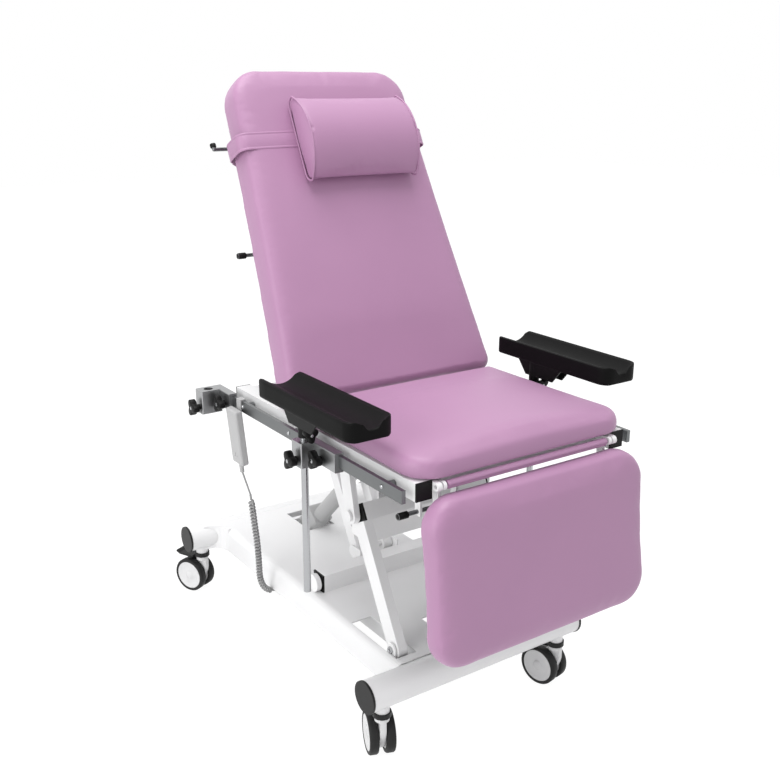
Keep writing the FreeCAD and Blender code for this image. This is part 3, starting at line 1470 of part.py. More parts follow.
up_vector = point(0, up_way[0], up_way[1])
out_vector = point(0, out_way[0], out_way[1])
junction = point(0, -S.seat_junction_along, S.seat_junction_level)
EASE_SHARE = 0.16
BACK_END, SEAT_REAR_END, SEAT_FRONT_END, LEG_END = 0.72, 0.96, 0.42, 0.62

edge, gap = plain(S.cushion_edge, S.soft_gap)
length, thick = plain(S.back_length, S.back_thickness)
back = cushion(plain(S.back_half_width_low, S.back_half_width_high), length, thick,
               *plain(S.back_crown, S.back_side_draw),
               edge, plain(S.back_corner_low, S.back_corner), (BACK_END, BACK_END), length * EASE_SHARE,
               (junction - out_vector * thick, up_vector, out_vector))
soft("back_cushion", back)

length = float(S.seat_front - S.seat_start)
thick, halves = float(S.seat_thickness), plain(S.seat_half_width, S.seat_half_width)
seat_base = point(0, -S.seat_start, S.frame_top + S.soft_gap)
seat = cushion(halves, length, thick, *plain(S.seat_crown, S.seat_side_draw), edge,
               plain(S.seat_rear_corner, S.seat_front_corner), (SEAT_REAR_END, SEAT_FRONT_END),
               length * EASE_SHARE * 2,
               (seat_base, Vector(0, -1, 0), Vector(0, 0, 1)))
reach = float(S.back_length)
behind_back = Part.makeBox(reach, reach, reach, Vector(-reach / 2, 0, -reach / 2))
behind_back.Placement = Placement(junction + out_vector * float(S.seat_back_gap),
                                  Rotation(Vector(1, 0, 0), -float(S.back_tilt)))
soft("seat_cushion", seat.cut(behind_back))

length, thick = plain(S.leg_length, S.leg_thickness)
leg_down = point(0, -sine(S.leg_tilt), -cosine(S.leg_tilt))
leg_out = point(0, -cosine(S.leg_tilt), sine(S.leg_tilt))
leg_top = point(0, -S.leg_top_along, S.leg_top_level)
leg = cushion(plain(S.leg_half_width, S.leg_half_width), length, thick,
              *plain(S.leg_crown, S.leg_side_draw), edge,
              plain(S.leg_corner, S.leg_corner), (LEG_END, LEG_END), length * EASE_SHARE,
              (leg_top - leg_out * thick, leg_down, leg_out))
soft("leg_cushion", leg)

# Head pillow with a D section, flat where it lies on the back
PILLOW_ENDS = ((0, 0.88), (0.35, 0.965), (1, 1), (4, 1), (8, 1))


def pillow_section(x, scale):
    low, high, depth, corner = plain(S.pillow_low, S.pillow_high, S.pillow_depth, S.pillow_corner)
    middle, half = (low + high) / 2, (high - low) / 2 * scale
    depth, corner = depth * scale, corner * scale
    floor = float(S.back_crown + S.strap_thickness + S.soft_gap * 2)

    def at(s, n):
        return junction + Vector(1, 0, 0) * x + up_vector * (middle + s) + out_vector * (floor + n)

    points = [at(-half, corner), at(-half + corner, 0), at(half - corner, 0), at(half, corner)]
    bulge = corner * (1 - math.sqrt(SIDE_PEAK_SHARE))
    return Part.Wire([
        Part.Arc(points[0], at(-half + bulge, bulge), points[1]).toShape(),
        Part.LineSegment(points[1], points[2]).toShape(),
        Part.Arc(points[2], at(half - bulge, bulge), points[3]).toShape(),
        Part.Arc(points[3], at(0, depth), points[0]).toShape(),
    ])


middle, half, end = plain(S.pillow_centre, S.pillow_half_length, S.pillow_end)
sections = [pillow_section(middle - half + end * at, scale) for at, scale in PILLOW_ENDS]
sections += [pillow_section(middle + half - end * at, scale) for at, scale in reversed(PILLOW_ENDS)]
soft("head_pillow", Part.makeLoft(sections, True, False))

# Strap: a flat band round the back cushion and its frame, under the pillow
low, high, thin, shoulder = plain(S.strap_low, S.strap_high, S.strap_thickness, S.strap_shoulder)
taper = float(S.back_half_width_low - S.back_half_width_high) / float(S.back_length)
half = float(S.back_half_width_low) - taper * low + gap
rear = -float(tube_far + S.soft_gap)
front = float(S.back_crown)
flat = [(-half, rear), (-half, -shoulder), (shoulder - half, gap), (half - shoulder, gap),
        (half, -shoulder), (half, rear)]


def band(inset):
    spots = []
    for i, (x, n) in enumerate(flat):
        x = x + math.copysign(inset, x)
        n = n - inset if i in (0, len(flat) - 1) else n + inset * (i in (2, 3))
        spots.append(junction + Vector(1, 0, 0) * x + up_vector * low + out_vector * n)
    top = junction + up_vector * low + out_vector * (front + gap / 2 + inset)
    edges = [Part.LineSegment(spots[i], spots[i + 1]).toShape() for i in (0, 1)]
    edges += [Part.Arc(spots[2], top, spots[3]).toShape()]
    edges += [Part.LineSegment(spots[i], spots[(i + 1) % len(spots)]).toShape() for i in (3, 4, 5)]
    return Part.Wire(edges)


strap = Part.Face(band(thin)).cut(Part.Face(band(0)))
soft("pillow_strap", strap.extrude(up_vector * (high - low)))

# Handset lead, from its strain relief to the curly cord
relief_end = S.handset_length + S.relief_length
lead_start = point(lean_x * relief_end - S.handset_across, S.handset_along,
                   S.handset_top - lean_z * relief_end)
coil_top = point(-S.coil_top_across, S.coil_top_along, S.coil_top_level)
lead_way = coil_top - lead_start
LEAD_CLEAR = 0.0135
lead = Part.makeCylinder(float(S.lead_radius), lead_way.Length * (1 - LEAD_CLEAR * 2),
                         lead_start + lead_way * LEAD_CLEAR, lead_way)
soft("handset_lead", lead)

# Curly cord: one tube along a centre line of arcs, wound round a path that bends into the gland
coil_low = point(-S.coil_low_across, S.coil_low_along, S.coil_low_level)
coil_turn = point(-S.coil_turn_across, S.coil_turn_along, S.gland_level)
gland_face = point(-S.gland_outer - S.soft_gap * 2, S.gland_along, S.gland_level)
wire_radius, wound = plain(S.curl_wire_radius, S.curl_radius)
END_LEAD = 2.4
STEPS = 240


def bend(share):
    """A point of the rounded turn from the hanging run into the gland."""
    return coil_low * (1 - share) ** 2 + coil_turn * (2 * share * (1 - share)) + gland_face * share ** 2


path = [coil_top + (coil_low - coil_top) * (i / STEPS) for i in range(STEPS)]
path += [bend(i / STEPS) for i in range(STEPS + 1)]
lengths = [0.0]
for before, after in zip(path, path[1:]):
    lengths.append(lengths[-1] + (after - before).Length)
ways = [(path[min(i + 1, len(path) - 1)] - path[max(i - 1, 0)]).normalize() for i in range(len(path))]
sides = [ways[0].cross(Vector(0, 0, 1)).normalize()]
for way in ways[1:]:
    side_way = sides[-1] - way * way.dot(sides[-1])
    sides.append(side_way.normalize())


def along_path(travel):
    """The path's point, way and side at a travelled length."""
    travel = min(max(travel, 0), lengths[-1])
    i = max(k for k, length in enumerate(lengths) if length <= travel)
    i = min(i, len(path) - 2)
    share = (travel - lengths[i]) / (lengths[i + 1] - lengths[i])
    way = (ways[i] * (1 - share) + ways[i + 1] * share).normalize()
    side_way = sides[i] * (1 - share) + sides[i + 1] * share
    return path[i] + (path[i + 1] - path[i]) * share, way, (side_way - way * way.dot(side_way)).normalize()


straight = wire_radius * END_LEAD
wound_length = lengths[-1] - straight * 6
pitch = wound_length / float(S.curl_count)


def curl_point(turns):
    spot, way, side_way = along_path(straight * 3 + pitch * turns)
    third = way.cross(side_way)
    angle = turns * 2 * math.pi
    around = side_way * math.cos(angle) + third * math.sin(angle)
    tangent = way * pitch + (third * math.cos(angle) - side_way * math.sin(angle)) * (2 * math.pi * wound)
    return spot + around * wound, tangent.normalize()


def biarc(start, start_way, end, end_way):
    """Two arcs that meet smoothly between two points with given ways."""
    chord = end - start
    both = start_way + end_way
    a = 2 * (1 - start_way.dot(end_way))
    b = 2 * chord.dot(both)
    c = -chord.dot(chord)
    reach = -c / b if abs(a) < 1e-9 else (-b + math.sqrt(b * b - 4 * a * c)) / (2 * a)
    first, second = start + start_way * reach, end - end_way * reach
    return [(start, start_way, (first + second) * 0.5),
            ((first + second) * 0.5, (second - first).normalize(), end)]


def arc_piece(start, way, end):
    """An arc from a point along a way to another point, or a line where it is straight."""
    chord = end - start
    across = chord - way * way.dot(chord)
    if across.Length < 1e-5 * chord.Length:
        return Part.LineSegment(start, end).toShape()
    across.normalize()
    radius = chord.dot(chord) / (2 * chord.dot(across))
    centre = start + across * radius
    middle = (start + end) * 0.5 - centre
    if way.dot(chord) < 0:
        middle = -middle
    return Part.Arc(start, centre + middle.normalize() * radius, end).toShape()


top_way = along_path(0)[1]
low_spot, low_way, _ = along_path(lengths[-1])
knots = [(coil_top + top_way * straight, top_way)]
half_turns = int(float(S.curl_count)) * 2
knots += [curl_point(i / 2) for i in range(half_turns + 1)]
knots.append((low_spot - low_way * straight, low_way))
pieces = [Part.LineSegment(coil_top, knots[0][0]).toShape()]
for (start, start_way), (end, end_way) in zip(knots, knots[1:]):
    for piece in biarc(start, start_way, end, end_way):
        pieces.append(arc_piece(*piece))
pieces.append(Part.LineSegment(knots[-1][0], low_spot).toShape())
spine = Part.Wire(pieces)
third = top_way.cross(sides[0])
SIX = 6
ring = []
for k in range(SIX):
    angle = k * 2 * math.pi / SIX
    ring.append(coil_top + (sides[0] * math.cos(angle) + third * math.sin(angle)) * wire_radius)
profile = Part.makePolygon(ring + ring[:1])
cord = spine.makePipeShell([profile], True, False)
soft("curly_cord", cord)

# The cord's own gap, measured between points that lie more than a quarter turn apart
spots, travels = [], []
travel = 0
for piece in pieces:
    for spot in piece.discretize(9)[:-1]:
        if spots:
            travel += (spot - spots[-1]).Length
        spots.append(spot)
        travels.append(travel)
quarter = wound * math.pi / 2
window = wound * 2 * math.pi * 3
least = min((b - a).Length
            for i, a in enumerate(spots)
            for j, b in enumerate(spots[i + 1:], start=i + 1)
            if travels[j] - travels[i] > quarter * 2 and travels[j] - travels[i] < window)
if least < wire_radius * 2:
    raise RuntimeError("two curls of the cord touch")


# What is checked before anything is written
doc.recompute()
for obj in doc.Objects:
    wrong = [state for state in obj.State if state in ("Invalid", "Error")]
    if wrong:
        raise RuntimeError(f"{obj.Name} ({obj.Label}) is {wrong}")
for part in PARTS:
    if part.Shape.isNull() or not part.Shape.isValid():
        raise RuntimeError(f"{part.Label} has no valid shape")
os.makedirs("parts", exist_ok=True)
for part in PARTS:
    part.Shape.exportStep(f"parts/{part.Label}.step")
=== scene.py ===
import json
import math

import bmesh
import bpy
import numpy as np
from mathutils import Matrix


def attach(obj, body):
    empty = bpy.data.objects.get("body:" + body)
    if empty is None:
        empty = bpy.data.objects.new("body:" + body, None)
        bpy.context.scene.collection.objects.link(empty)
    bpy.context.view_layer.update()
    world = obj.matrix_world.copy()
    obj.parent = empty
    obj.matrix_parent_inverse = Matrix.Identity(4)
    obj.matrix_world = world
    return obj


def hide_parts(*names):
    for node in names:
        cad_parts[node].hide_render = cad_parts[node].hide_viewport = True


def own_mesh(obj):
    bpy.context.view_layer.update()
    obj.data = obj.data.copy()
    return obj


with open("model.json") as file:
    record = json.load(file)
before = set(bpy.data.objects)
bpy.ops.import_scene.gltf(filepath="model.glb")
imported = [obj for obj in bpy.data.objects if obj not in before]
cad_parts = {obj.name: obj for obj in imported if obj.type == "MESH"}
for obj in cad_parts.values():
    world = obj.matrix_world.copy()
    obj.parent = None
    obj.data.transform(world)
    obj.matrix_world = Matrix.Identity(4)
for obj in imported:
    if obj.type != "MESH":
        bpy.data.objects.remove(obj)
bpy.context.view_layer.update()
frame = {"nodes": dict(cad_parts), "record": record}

# Camera. It stands in front of the seated person's right knee, a little above the arm pads, and looks
# down on the chair. Lens and place come from lines on base, rails and casters. Places are in millimetres
# as read, with levels from 22 mm under the floor, and shifted into the frame.
SHIFT = np.array([0.001, 0.084, -0.022])


def at(across, along, up):
    """A point of the frame in metres: millimetres across, along and up over 1000, plus the shift."""
    return np.array([across, along, up], float) / 1000 + SHIFT


def photo_camera(lens, yaw, pitch, roll, place):
    """Looks along the yaw from the rear axis, down by the pitch, its right side lifted by the roll."""
    data = bpy.data.cameras.new("photo_camera")
    camera = bpy.data.objects.new("photo_camera", data)
    bpy.context.collection.objects.link(camera)
    data.sensor_width = 36.0
    data.lens = lens
    data.clip_end = 60
    yaw, pitch, roll = (math.radians(angle) for angle in (yaw, pitch, roll))
    ahead = np.array([math.sin(yaw) * math.cos(pitch), math.cos(yaw) * math.cos(pitch), -math.sin(pitch)])
    right = np.array([math.cos(yaw), -math.sin(yaw), 0.0])
    above = np.cross(right, ahead)
    matrix = np.eye(4)
    matrix[:3, 0] = right * math.cos(roll) + above * math.sin(roll)
    matrix[:3, 1] = above * math.cos(roll) - right * math.sin(roll)
    matrix[:3, 2] = -ahead
    matrix[:3, 3] = place
    camera.matrix_world = Matrix(matrix.tolist())
    bpy.context.scene.camera = camera


photo_camera(lens=46.24, yaw=34.54, pitch=17.18, roll=0.2, place=at(-1457.1, -2250.8, 1614.4))

# Room. A plain pale floor under even studio light: a wide soft lamp overhead, a weaker one from the
# seated person's right, and a pale surround. What the camera and the metal see of these is near white.
FLOOR_REACH = 14
CHAIR_MIDDLE = at(0, -100, 700)


def linear(code):
    """A screen colour in hex as linear light, opaque: each share up to 0.04045 is divided by 12.92, and a
    larger one has 0.055 added, is divided by 1.055 and raised to 2.4."""
    shares = [int(code[i:i + 2], 16) / 255 for i in (1, 3, 5)]
    return [s / 12.92 if s <= 0.04045 else ((s + 0.055) / 1.055) ** 2.4 for s in shares] + [1.0]


def add(tree, kind, inputs=(), **settings):
    """Adds one node; each input gets a value, or a link where another node's output is given."""
    node = tree.nodes.new(kind)
    for name, value in settings.items():
        setattr(node, name, value)
    for name, value in dict(inputs).items():
        if isinstance(value, bpy.types.NodeSocket):
            tree.links.new(value, node.inputs[name])
        else:
            node.inputs[name].default_value = value
    return node


def blank(name):
    """An empty material and its node tree."""
    material = bpy.data.materials.new(name)
    material.use_nodes = True
    material.node_tree.nodes.clear()
    return material, material.node_tree


def grid_faces(rows, columns, closed_rows, closed_columns):
    """Four-cornered faces between neighbouring points of a grid that is numbered row by row."""
    i = np.arange(rows if closed_rows else rows - 1)[:, None]
    j = np.arange(columns if closed_columns else columns - 1)[None, :]
    following, beside = (i + 1) % rows, (j + 1) % columns
    corners = (i * columns + j, i * columns + beside, following * columns + beside, following * columns + j)
    return np.stack(np.broadcast_arrays(*corners), -1).reshape(-1, 4)


def shell(name, points, material, closed_rows=False, closed_columns=True, crease=40, outward=True):
    """A mesh from a grid of points. Points within 2 micrometres are joined, faces point outwards, and
    edges sharper than the crease, in degrees, stay sharp."""
    rows, columns = points.shape[:2]
    mesh = bpy.data.meshes.new(name)
    faces = grid_faces(rows, columns, closed_rows, closed_columns)
    mesh.from_pydata(points.reshape(-1, 3).tolist(), [], faces.tolist())
    if outward:
        work = bmesh.new()
        work.from_mesh(mesh)
        bmesh.ops.remove_doubles(work, verts=work.verts, dist=2e-6)
        bmesh.ops.dissolve_degenerate(work, edges=work.edges, dist=1e-7)
        bmesh.ops.recalc_face_normals(work, faces=work.faces)
        work.to_mesh(mesh)
        work.free()
    mesh.shade_smooth()
    mesh.set_sharp_from_angle(angle=math.radians(crease))
    piece = bpy.data.objects.new(name, mesh)
    bpy.context.collection.objects.link(piece)
    mesh.materials.append(material)
    return piece


def seen_directly(tree):
    """1 for what the camera and the metal see, else 0: the larger of Light Path's two answers."""
    path = add(tree, "ShaderNodeLightPath")
    rays = {0: path.outputs["Is Camera Ray"], 1: path.outputs["Is Glossy Ray"]}
    return add(tree, "ShaderNodeMath", rays, operation="MAXIMUM").outputs[0]


def pale_floor():
    """Matt white board. Seen directly: a grey diffuse plus a glow just under white, to keep shadows."""
    material, tree = blank("pale_floor")
    diffuse = add(tree, "ShaderNodeBsdfDiffuse", {"Color": linear("#6E6E6E")})
    glow = add(tree, "ShaderNodeEmission", {"Color": linear("#FFFFFF"), "Strength": 0.95})
    both = add(tree, "ShaderNodeAddShader", {0: diffuse.outputs[0], 1: glow.outputs[0]})
    plain = add(tree, "ShaderNodeBsdfDiffuse", {"Color": linear("#F4F4F4")})
    seen = seen_directly(tree)
    mixed = add(tree, "ShaderNodeMixShader", {0: seen, 1: plain.outputs[0], 2: both.outputs[0]})
    add(tree, "ShaderNodeOutputMaterial", {"Surface": mixed.outputs[0]})
    return material


def pale_surround():
    """White where it is seen directly, and a little dimmer as light on the chair."""
    world = bpy.data.worlds.new("studio")
    world.use_nodes = True
    tree = world.node_tree
    tree.nodes.clear()
    dim = add(tree, "ShaderNodeBackground", {"Color": linear("#FAFAFC"), "Strength": 0.7})
    white = add(tree, "ShaderNodeBackground", {"Color": linear("#FFFFFF"), "Strength": 1.0})
    seen = seen_directly(tree)
    mixed = add(tree, "ShaderNodeMixShader", {0: seen, 1: dim.outputs[0], 2: white.outputs[0]})
    add(tree, "ShaderNodeOutputWorld", {"Surface": mixed.outputs[0]})
    bpy.context.scene.world = world


def soft_lamp(name, place, size, power):
    """A square lamp, in metres and watts, whose back axis points away from the middle of the chair."""
    lamp = bpy.data.lights.new(name, "AREA")
    lamp.shape = "SQUARE"
    lamp.size = size
    lamp.energy = power
    holder = bpy.data.objects.new(name, lamp)
    bpy.context.collection.objects.link(holder)
    way = CHAIR_MIDDLE - place
    way /= np.linalg.norm(way)
    right = np.cross(way, [0.0, 0.02, 1.0])
    right /= np.linalg.norm(right)
    matrix = np.eye(4)
    matrix[:3, 0], matrix[:3, 1], matrix[:3, 2], matrix[:3, 3] = right, np.cross(right, way), -way, place
    holder.matrix_world = Matrix(matrix.tolist())


bpy.context.scene.view_settings.view_transform = "Standard"
reach = np.linspace(-FLOOR_REACH, FLOOR_REACH, 3)
ground = np.stack(np.broadcast_arrays(reach[:, None], reach[None, :], np.zeros((3, 3))), -1)
shell("floor", ground, pale_floor(), closed_columns=False, outward=False)
pale_surround()
soft_lamp("overhead_lamp", at(-500, -100, 5200), size=3.2, power=182)
soft_lamp("side_lamp", at(-3900, -1000, 1900), size=2.4, power=66)

# Curly cord of the handset: round PVC wire wound into a coil, hung from a short straight lead and bent
# into the gland on the base. The coil follows one smooth line from the lead's end to the gland.
CORD_ROUTE = [(-325, 70, 524), (-309, 86, 432), (-292, 102, 340), (-268, 146, 168), (-206, 160, 156)]
CORD_TURNS, CORD_COIL, CORD_WIRE = 32, 6.6, 3.1
CORD_STRAIGHT, CORD_GROWTH, POINTS_PER_TURN = 40, 9, 16


def cord_skin():
    """Extruded grey PVC: smooth, with a soft shine, slightly darker where dust sits between the turns."""
    material, tree = blank("grey_pvc_cord")
    spot = add(tree, "ShaderNodeTexCoord").outputs["Object"]
    dust = add(tree, "ShaderNodeTexNoise", {"Vector": spot, "Scale": 60.0, "Detail": 3.0}).outputs["Fac"]
    tint = add(tree, "ShaderNodeMix", {0: dust, 6: linear("#868686"), 7: linear("#A2A2A2")}, data_type="RGBA")
    bump = add(tree, "ShaderNodeBump", {"Strength": 0.3, "Distance": 0.0002, "Height": dust})
    skin = add(tree, "ShaderNodeBsdfPrincipled", {
        "Base Color": tint.outputs[2], "Roughness": 0.42, "Normal": bump.outputs[0]})
    add(tree, "ShaderNodeOutputMaterial", {"Surface": skin.outputs[0]})
    return material


def smooth_line(points, steps):
    """The points of a smooth NURBS line of order 3 through a route's ends, evenly spread by length."""
    data = bpy.data.curves.new("route", "CURVE")
    data.dimensions = "3D"
    data.resolution_u = 64
    spline = data.splines.new("NURBS")
    spline.points.add(len(points) - 1)
    spline.points.foreach_set("co", np.concatenate([points, np.ones((len(points), 1))], 1).ravel())
    spline.order_u = 3
    spline.use_endpoint_u = True
    route = bpy.data.objects.new("route", data)
    mesh = bpy.data.meshes.new_from_object(route)
    line = np.empty(len(mesh.vertices) * 3)
    mesh.vertices.foreach_get("co", line)
    line = line.reshape(-1, 3)
    bpy.data.objects.remove(route)
    bpy.data.meshes.remove(mesh)
    travel = np.concatenate([[0], np.cumsum(np.linalg.norm(np.diff(line, axis=0), axis=1))])
    even = np.linspace(0, travel[-1], steps)
    return np.stack([np.interp(even, travel, line[:, k]) for k in range(3)], 1), even


def ways_of(line):
    """Unit directions along a line, from the difference of each point's neighbours."""
    way = np.gradient(line, axis=0)
    return way / np.linalg.norm(way, axis=1, keepdims=True)


def tube(name, line, side, radius, material, sides=10):
    """Circles square to a line, set out from its side and the way across it, with each end closed."""
    way = ways_of(line)
    side = side - way * np.sum(side * way, axis=1, keepdims=True)
    side /= np.linalg.norm(side, axis=1, keepdims=True)
    third = np.cross(way, side)
    turn = np.linspace(0, 2 * math.pi, sides, endpoint=False)[None, :, None]
    ring = line[:, None] + radius * (side[:, None] * np.cos(turn) + third[:, None] * np.sin(turn))
    ends = np.broadcast_to(line[:, None], ring.shape)
    return shell(name, np.concatenate([ends[:1], ring, ends[-1:]]), material, crease=60)


def finished(piece, body, slot, *nodes):
    """Rides on a body and stands for the nodes named. The slot is not used."""
    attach(piece, body)
    if nodes:
        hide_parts(*nodes)
    return piece


def curly_cord():
    """A helix round the route: even turns, and a radius that grows from each end as 3t^2 - 2t^3."""
    route = np.array([at(*point) for point in CORD_ROUTE])
    axis, travel = smooth_line(route, CORD_TURNS * POINTS_PER_TURN)
    way = ways_of(axis)
    side = np.cross(way, np.array([0.35, 1.0, 0.25]))
    side /= np.linalg.norm(side, axis=1, keepdims=True)
    third = np.cross(way, side)
    turns_from, grows_from = CORD_STRAIGHT / 1000 * 0.55, CORD_STRAIGHT / 1000 * 0.4
    wound = np.clip((travel - turns_from) / (travel[-1] - 2 * turns_from), 0, 1)
    from_end = np.minimum(travel - grows_from, travel[-1] - grows_from - travel)
    growth = np.clip(from_end / (CORD_GROWTH / 1000), 0, 1)
    growth = growth * growth * (3 - 2 * growth)
    turn = wound * CORD_TURNS * 2 * math.pi
    out = side * np.cos(turn)[:, None] + third * np.sin(turn)[:, None]
    line = axis + out * (growth * CORD_COIL / 1000)[:, None]
    cord = tube("curly_cord_wire", line, out, CORD_WIRE / 1000, grey_pvc, sides=8)
    length = float(np.sum(np.linalg.norm(np.diff(line, axis=0), axis=1)))
    return finished(cord, "base", "cord_skin", "curly_cord"), line, length


grey_pvc = cord_skin()
cord, cord_line, cord_length = curly_cord()

# Lead of the handset: straight smooth wire from the case's strain relief to the first turn of the coil.
# It is the same PVC and one length with the coil.
LEAD_TOP, LEAD_RADIUS = (-342.68, 78, 592.8), 2.5


def handset_lead():
    """Twelve points spread evenly on the straight line to the coil's start."""
    end = cord_line[0]
    start = at(*LEAD_TOP)
    share = np.linspace(0, 1, 12)[:, None]
    line = start + (end - start) * share
    lead = tube("handset_lead_wire", line, np.array([[1.0, 0.0, 0.0]]), LEAD_RADIUS / 1000, grey_pvc)
    finished(lead, "seat", "cord_skin", "handset_lead")


handset_lead()
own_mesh(cord)

# Upholstery: mauve vinyl pulled over foam on flat boards, with a black lining stapled over the boards'
# backs. Each cushion has a crowned face, rounded edges and sides that pull in a little between its
# corners. The back and the leg cushion were screwed on a little off the middle.
BACK_TILT, LEG_TILT = 26.5, 6.6
BACK_FOOT = at(0, -169, 855)
OFF_CENTRE, START_INSET = 6, 0.6
CUSHION_GRID, SWELL_STEPS, LINING_EDGE = 0.008, 20, 0.03


def mauve_vinyl():
    """Coated vinyl: an even colour, fine pebbled grain, a soft broad sheen. The grain is drawn at 2.2 mm,
    twice its size."""
    material, tree = blank("mauve_vinyl")
    spot = add(tree, "ShaderNodeTexCoord").outputs["Object"]
    cloud = add(tree, "ShaderNodeTexNoise", {"Vector": spot, "Scale": 5.0, "Detail": 3.0, "Roughness": 0.55})
    drift = cloud.outputs["Fac"]
    tint = add(tree, "ShaderNodeMix", {0: drift, 6: linear("#A3799A"), 7: linear("#AB80A1")},
               data_type="RGBA")
    grain = add(tree, "ShaderNodeTexVoronoi", {"Vector": spot, "Scale": 450.0, "Randomness": 1.0},
                feature="SMOOTH_F1")
    fine = add(tree, "ShaderNodeTexNoise", {"Vector": spot, "Scale": 900.0, "Detail": 2.0})
    both = add(tree, "ShaderNodeMath", {0: grain.outputs["Distance"], 1: fine.outputs["Fac"]},
               operation="ADD")
    rough = add(tree, "ShaderNodeMapRange", {"Value": drift, "To Min": 0.44, "To Max": 0.54})
    bump = add(tree, "ShaderNodeBump", {"Strength": 0.16, "Distance": 0.0005, "Height": both.outputs[0]})
    skin = add(tree, "ShaderNodeBsdfPrincipled", {
        "Base Color": tint.outputs[2], "Roughness": rough.outputs[0], "Normal": bump.outputs[0],
        "Sheen Weight": 0.22, "Sheen Roughness": 0.45, "Sheen Tint": linear("#E8D6EA")})
    add(tree, "ShaderNodeOutputMaterial", {"Surface": skin.outputs[0]})
    return material


def board_lining():
    """Non-woven black lining: matt, with a faint mottle of pressed fibres drawn at 4 mm."""
    material, tree = blank("board_lining")
    spot = add(tree, "ShaderNodeTexCoord").outputs["Object"]
    fibre = add(tree, "ShaderNodeTexNoise", {"Vector": spot, "Scale": 260.0, "Detail": 4.0}).outputs["Fac"]
    tint = add(tree, "ShaderNodeMix", {0: fibre, 6: linear("#1B1A1C"), 7: linear("#2E2C2F")},
               data_type="RGBA")
    bump = add(tree, "ShaderNodeBump", {"Strength": 0.4, "Distance": 0.0004, "Height": fibre})
    skin = add(tree, "ShaderNodeBsdfPrincipled", {
        "Base Color": tint.outputs[2], "Roughness": 0.9, "Normal": bump.outputs[0]})
    add(tree, "ShaderNodeOutputMaterial", {"Surface": skin.outputs[0]})
    return material


def outline(halves, length, corners, pull):
    """Corners are quarter circles; the sides between them run straight with a taper, pulled in by half a
    sine wave. Halves and corners are given for the near end, then for the far one."""
    half = lambda s: halves[0] + (halves[1] - halves[0]) * s / length
    turn = np.linspace(0, math.pi / 2, 12)
    run = np.linspace(0, 1, 30)[1:-1]
    low, far = corners
    high = length - far
    side_s = low + (high - low) * run
    side_x = half(side_s) - pull * np.sin(math.pi * run)
    first = np.stack([half(low) - low + low * np.sin(turn), low - low * np.cos(turn)], 1)
    last = np.stack([half(high) - far + far * np.cos(turn), high + far * np.sin(turn)], 1)
    right = np.concatenate([first, np.stack([side_x, side_s], 1), last])
    across = np.linspace(-1, 1, 24)[1:-1, None]
    top = np.concatenate([-across * last[-1, :1], np.full_like(across, length)], 1)
    bottom = np.concatenate([across * first[0, :1], np.zeros_like(across)], 1)
    left = right[::-1] * [-1, 1]
    return np.concatenate([right, top, left, bottom])


def cushion_points(halves, length, corners, pull, thick, crown, edge, thins, ease):
    """Rings from the middle of the flat back, round the sides and up to the middle of the crowned face.
    Thins are the shares of the thickness left at the ends; the crown is whole from ease on."""
    plan = outline(halves, length, corners, pull)
    tangent = np.roll(plan, -1, 0) - np.roll(plan, 1, 0)
    out = np.stack([tangent[:, 1], -tangent[:, 0]], 1)
    out /= np.linalg.norm(out, axis=1, keepdims=True)
    middle = np.array([0.0, length / 2])

    def height(s):
        """The edge's height and the crown's share at a length along the cushion: both fall off round the
        ends as circular arcs, and the crown also by a square over its start."""
        first = np.sqrt(np.clip(1 - (1 - np.clip(s / corners[0], 0, 1)) ** 2, 0, 1))
        last = np.sqrt(np.clip(1 - (1 - np.clip((length - s) / corners[1], 0, 1)) ** 2, 0, 1))
        fall = lambda thin, swell: thin + (1 - thin) * np.sqrt(swell)
        tall = thick * fall(thins[0], first) * fall(thins[1], last)
        return tall, first * last * np.clip(s / ease, 0, 1) ** 2

    def rise(points):
        """The face's level: the edge's height plus a parabola across, at least 0.03 of the crown high."""
        half = halves[0] + (halves[1] - halves[0]) * points[:, 1] / length
        tall, swell = height(points[:, 1])
        return tall + crown * np.maximum(0.03, swell) * np.clip(1 - (points[:, 0] / half) ** 2, 0, 1)

    rings = []
    low, bulge = edge * 0.45, 1.5
    tall = height(plan[:, 1])[0]
    top = np.minimum(edge * 1.1, tall * 0.4)
    for share in (0.0, 0.5, 0.85):
        rings.append(np.column_stack([middle + (plan - out * low - middle) * share, np.zeros(len(plan))]))
    for turn in np.linspace(0, math.pi / 2, 5):
        level = np.full(len(plan), low * (1 - math.cos(turn)))
        rings.append(np.column_stack([plan - out * low * (1 - math.sin(turn)), level]))
    for share in (0.35, 0.65):
        belly = plan + out * bulge * math.sin(math.pi * share)
        rings.append(np.column_stack([belly, low + (tall - top - low) * share]))
    for turn in np.linspace(0, math.pi / 2, 7):
        inset = top * (1 - math.cos(turn))
        spot = plan - out * inset[:, None]
        rings.append(np.column_stack([spot, rise(spot) - top * (1 - math.sin(turn))]))
    inner = plan - out * top[:, None]
    for share in (0.9, 0.78, 0.64, 0.48, 0.32, 0.16, 0.0):
        spot = middle + (inner - middle) * share
        rings.append(np.column_stack([spot, rise(spot)]))
    return np.stack(rings)


def placed(points, origin, along, out):
    """Points of the frame: an origin plus millimetres across, along a board and out from it."""
    spots = points[..., :1] * [1.0, 0.0, 0.0] + points[..., 1:2] * along + points[..., 2:3] * out
    return origin + spots / 1000


def coords(mesh):
    """All points of a mesh as rows."""
    spots = np.empty(len(mesh.vertices) * 3)
    mesh.vertices.foreach_get("co", spots)
    return spots.reshape(-1, 3)


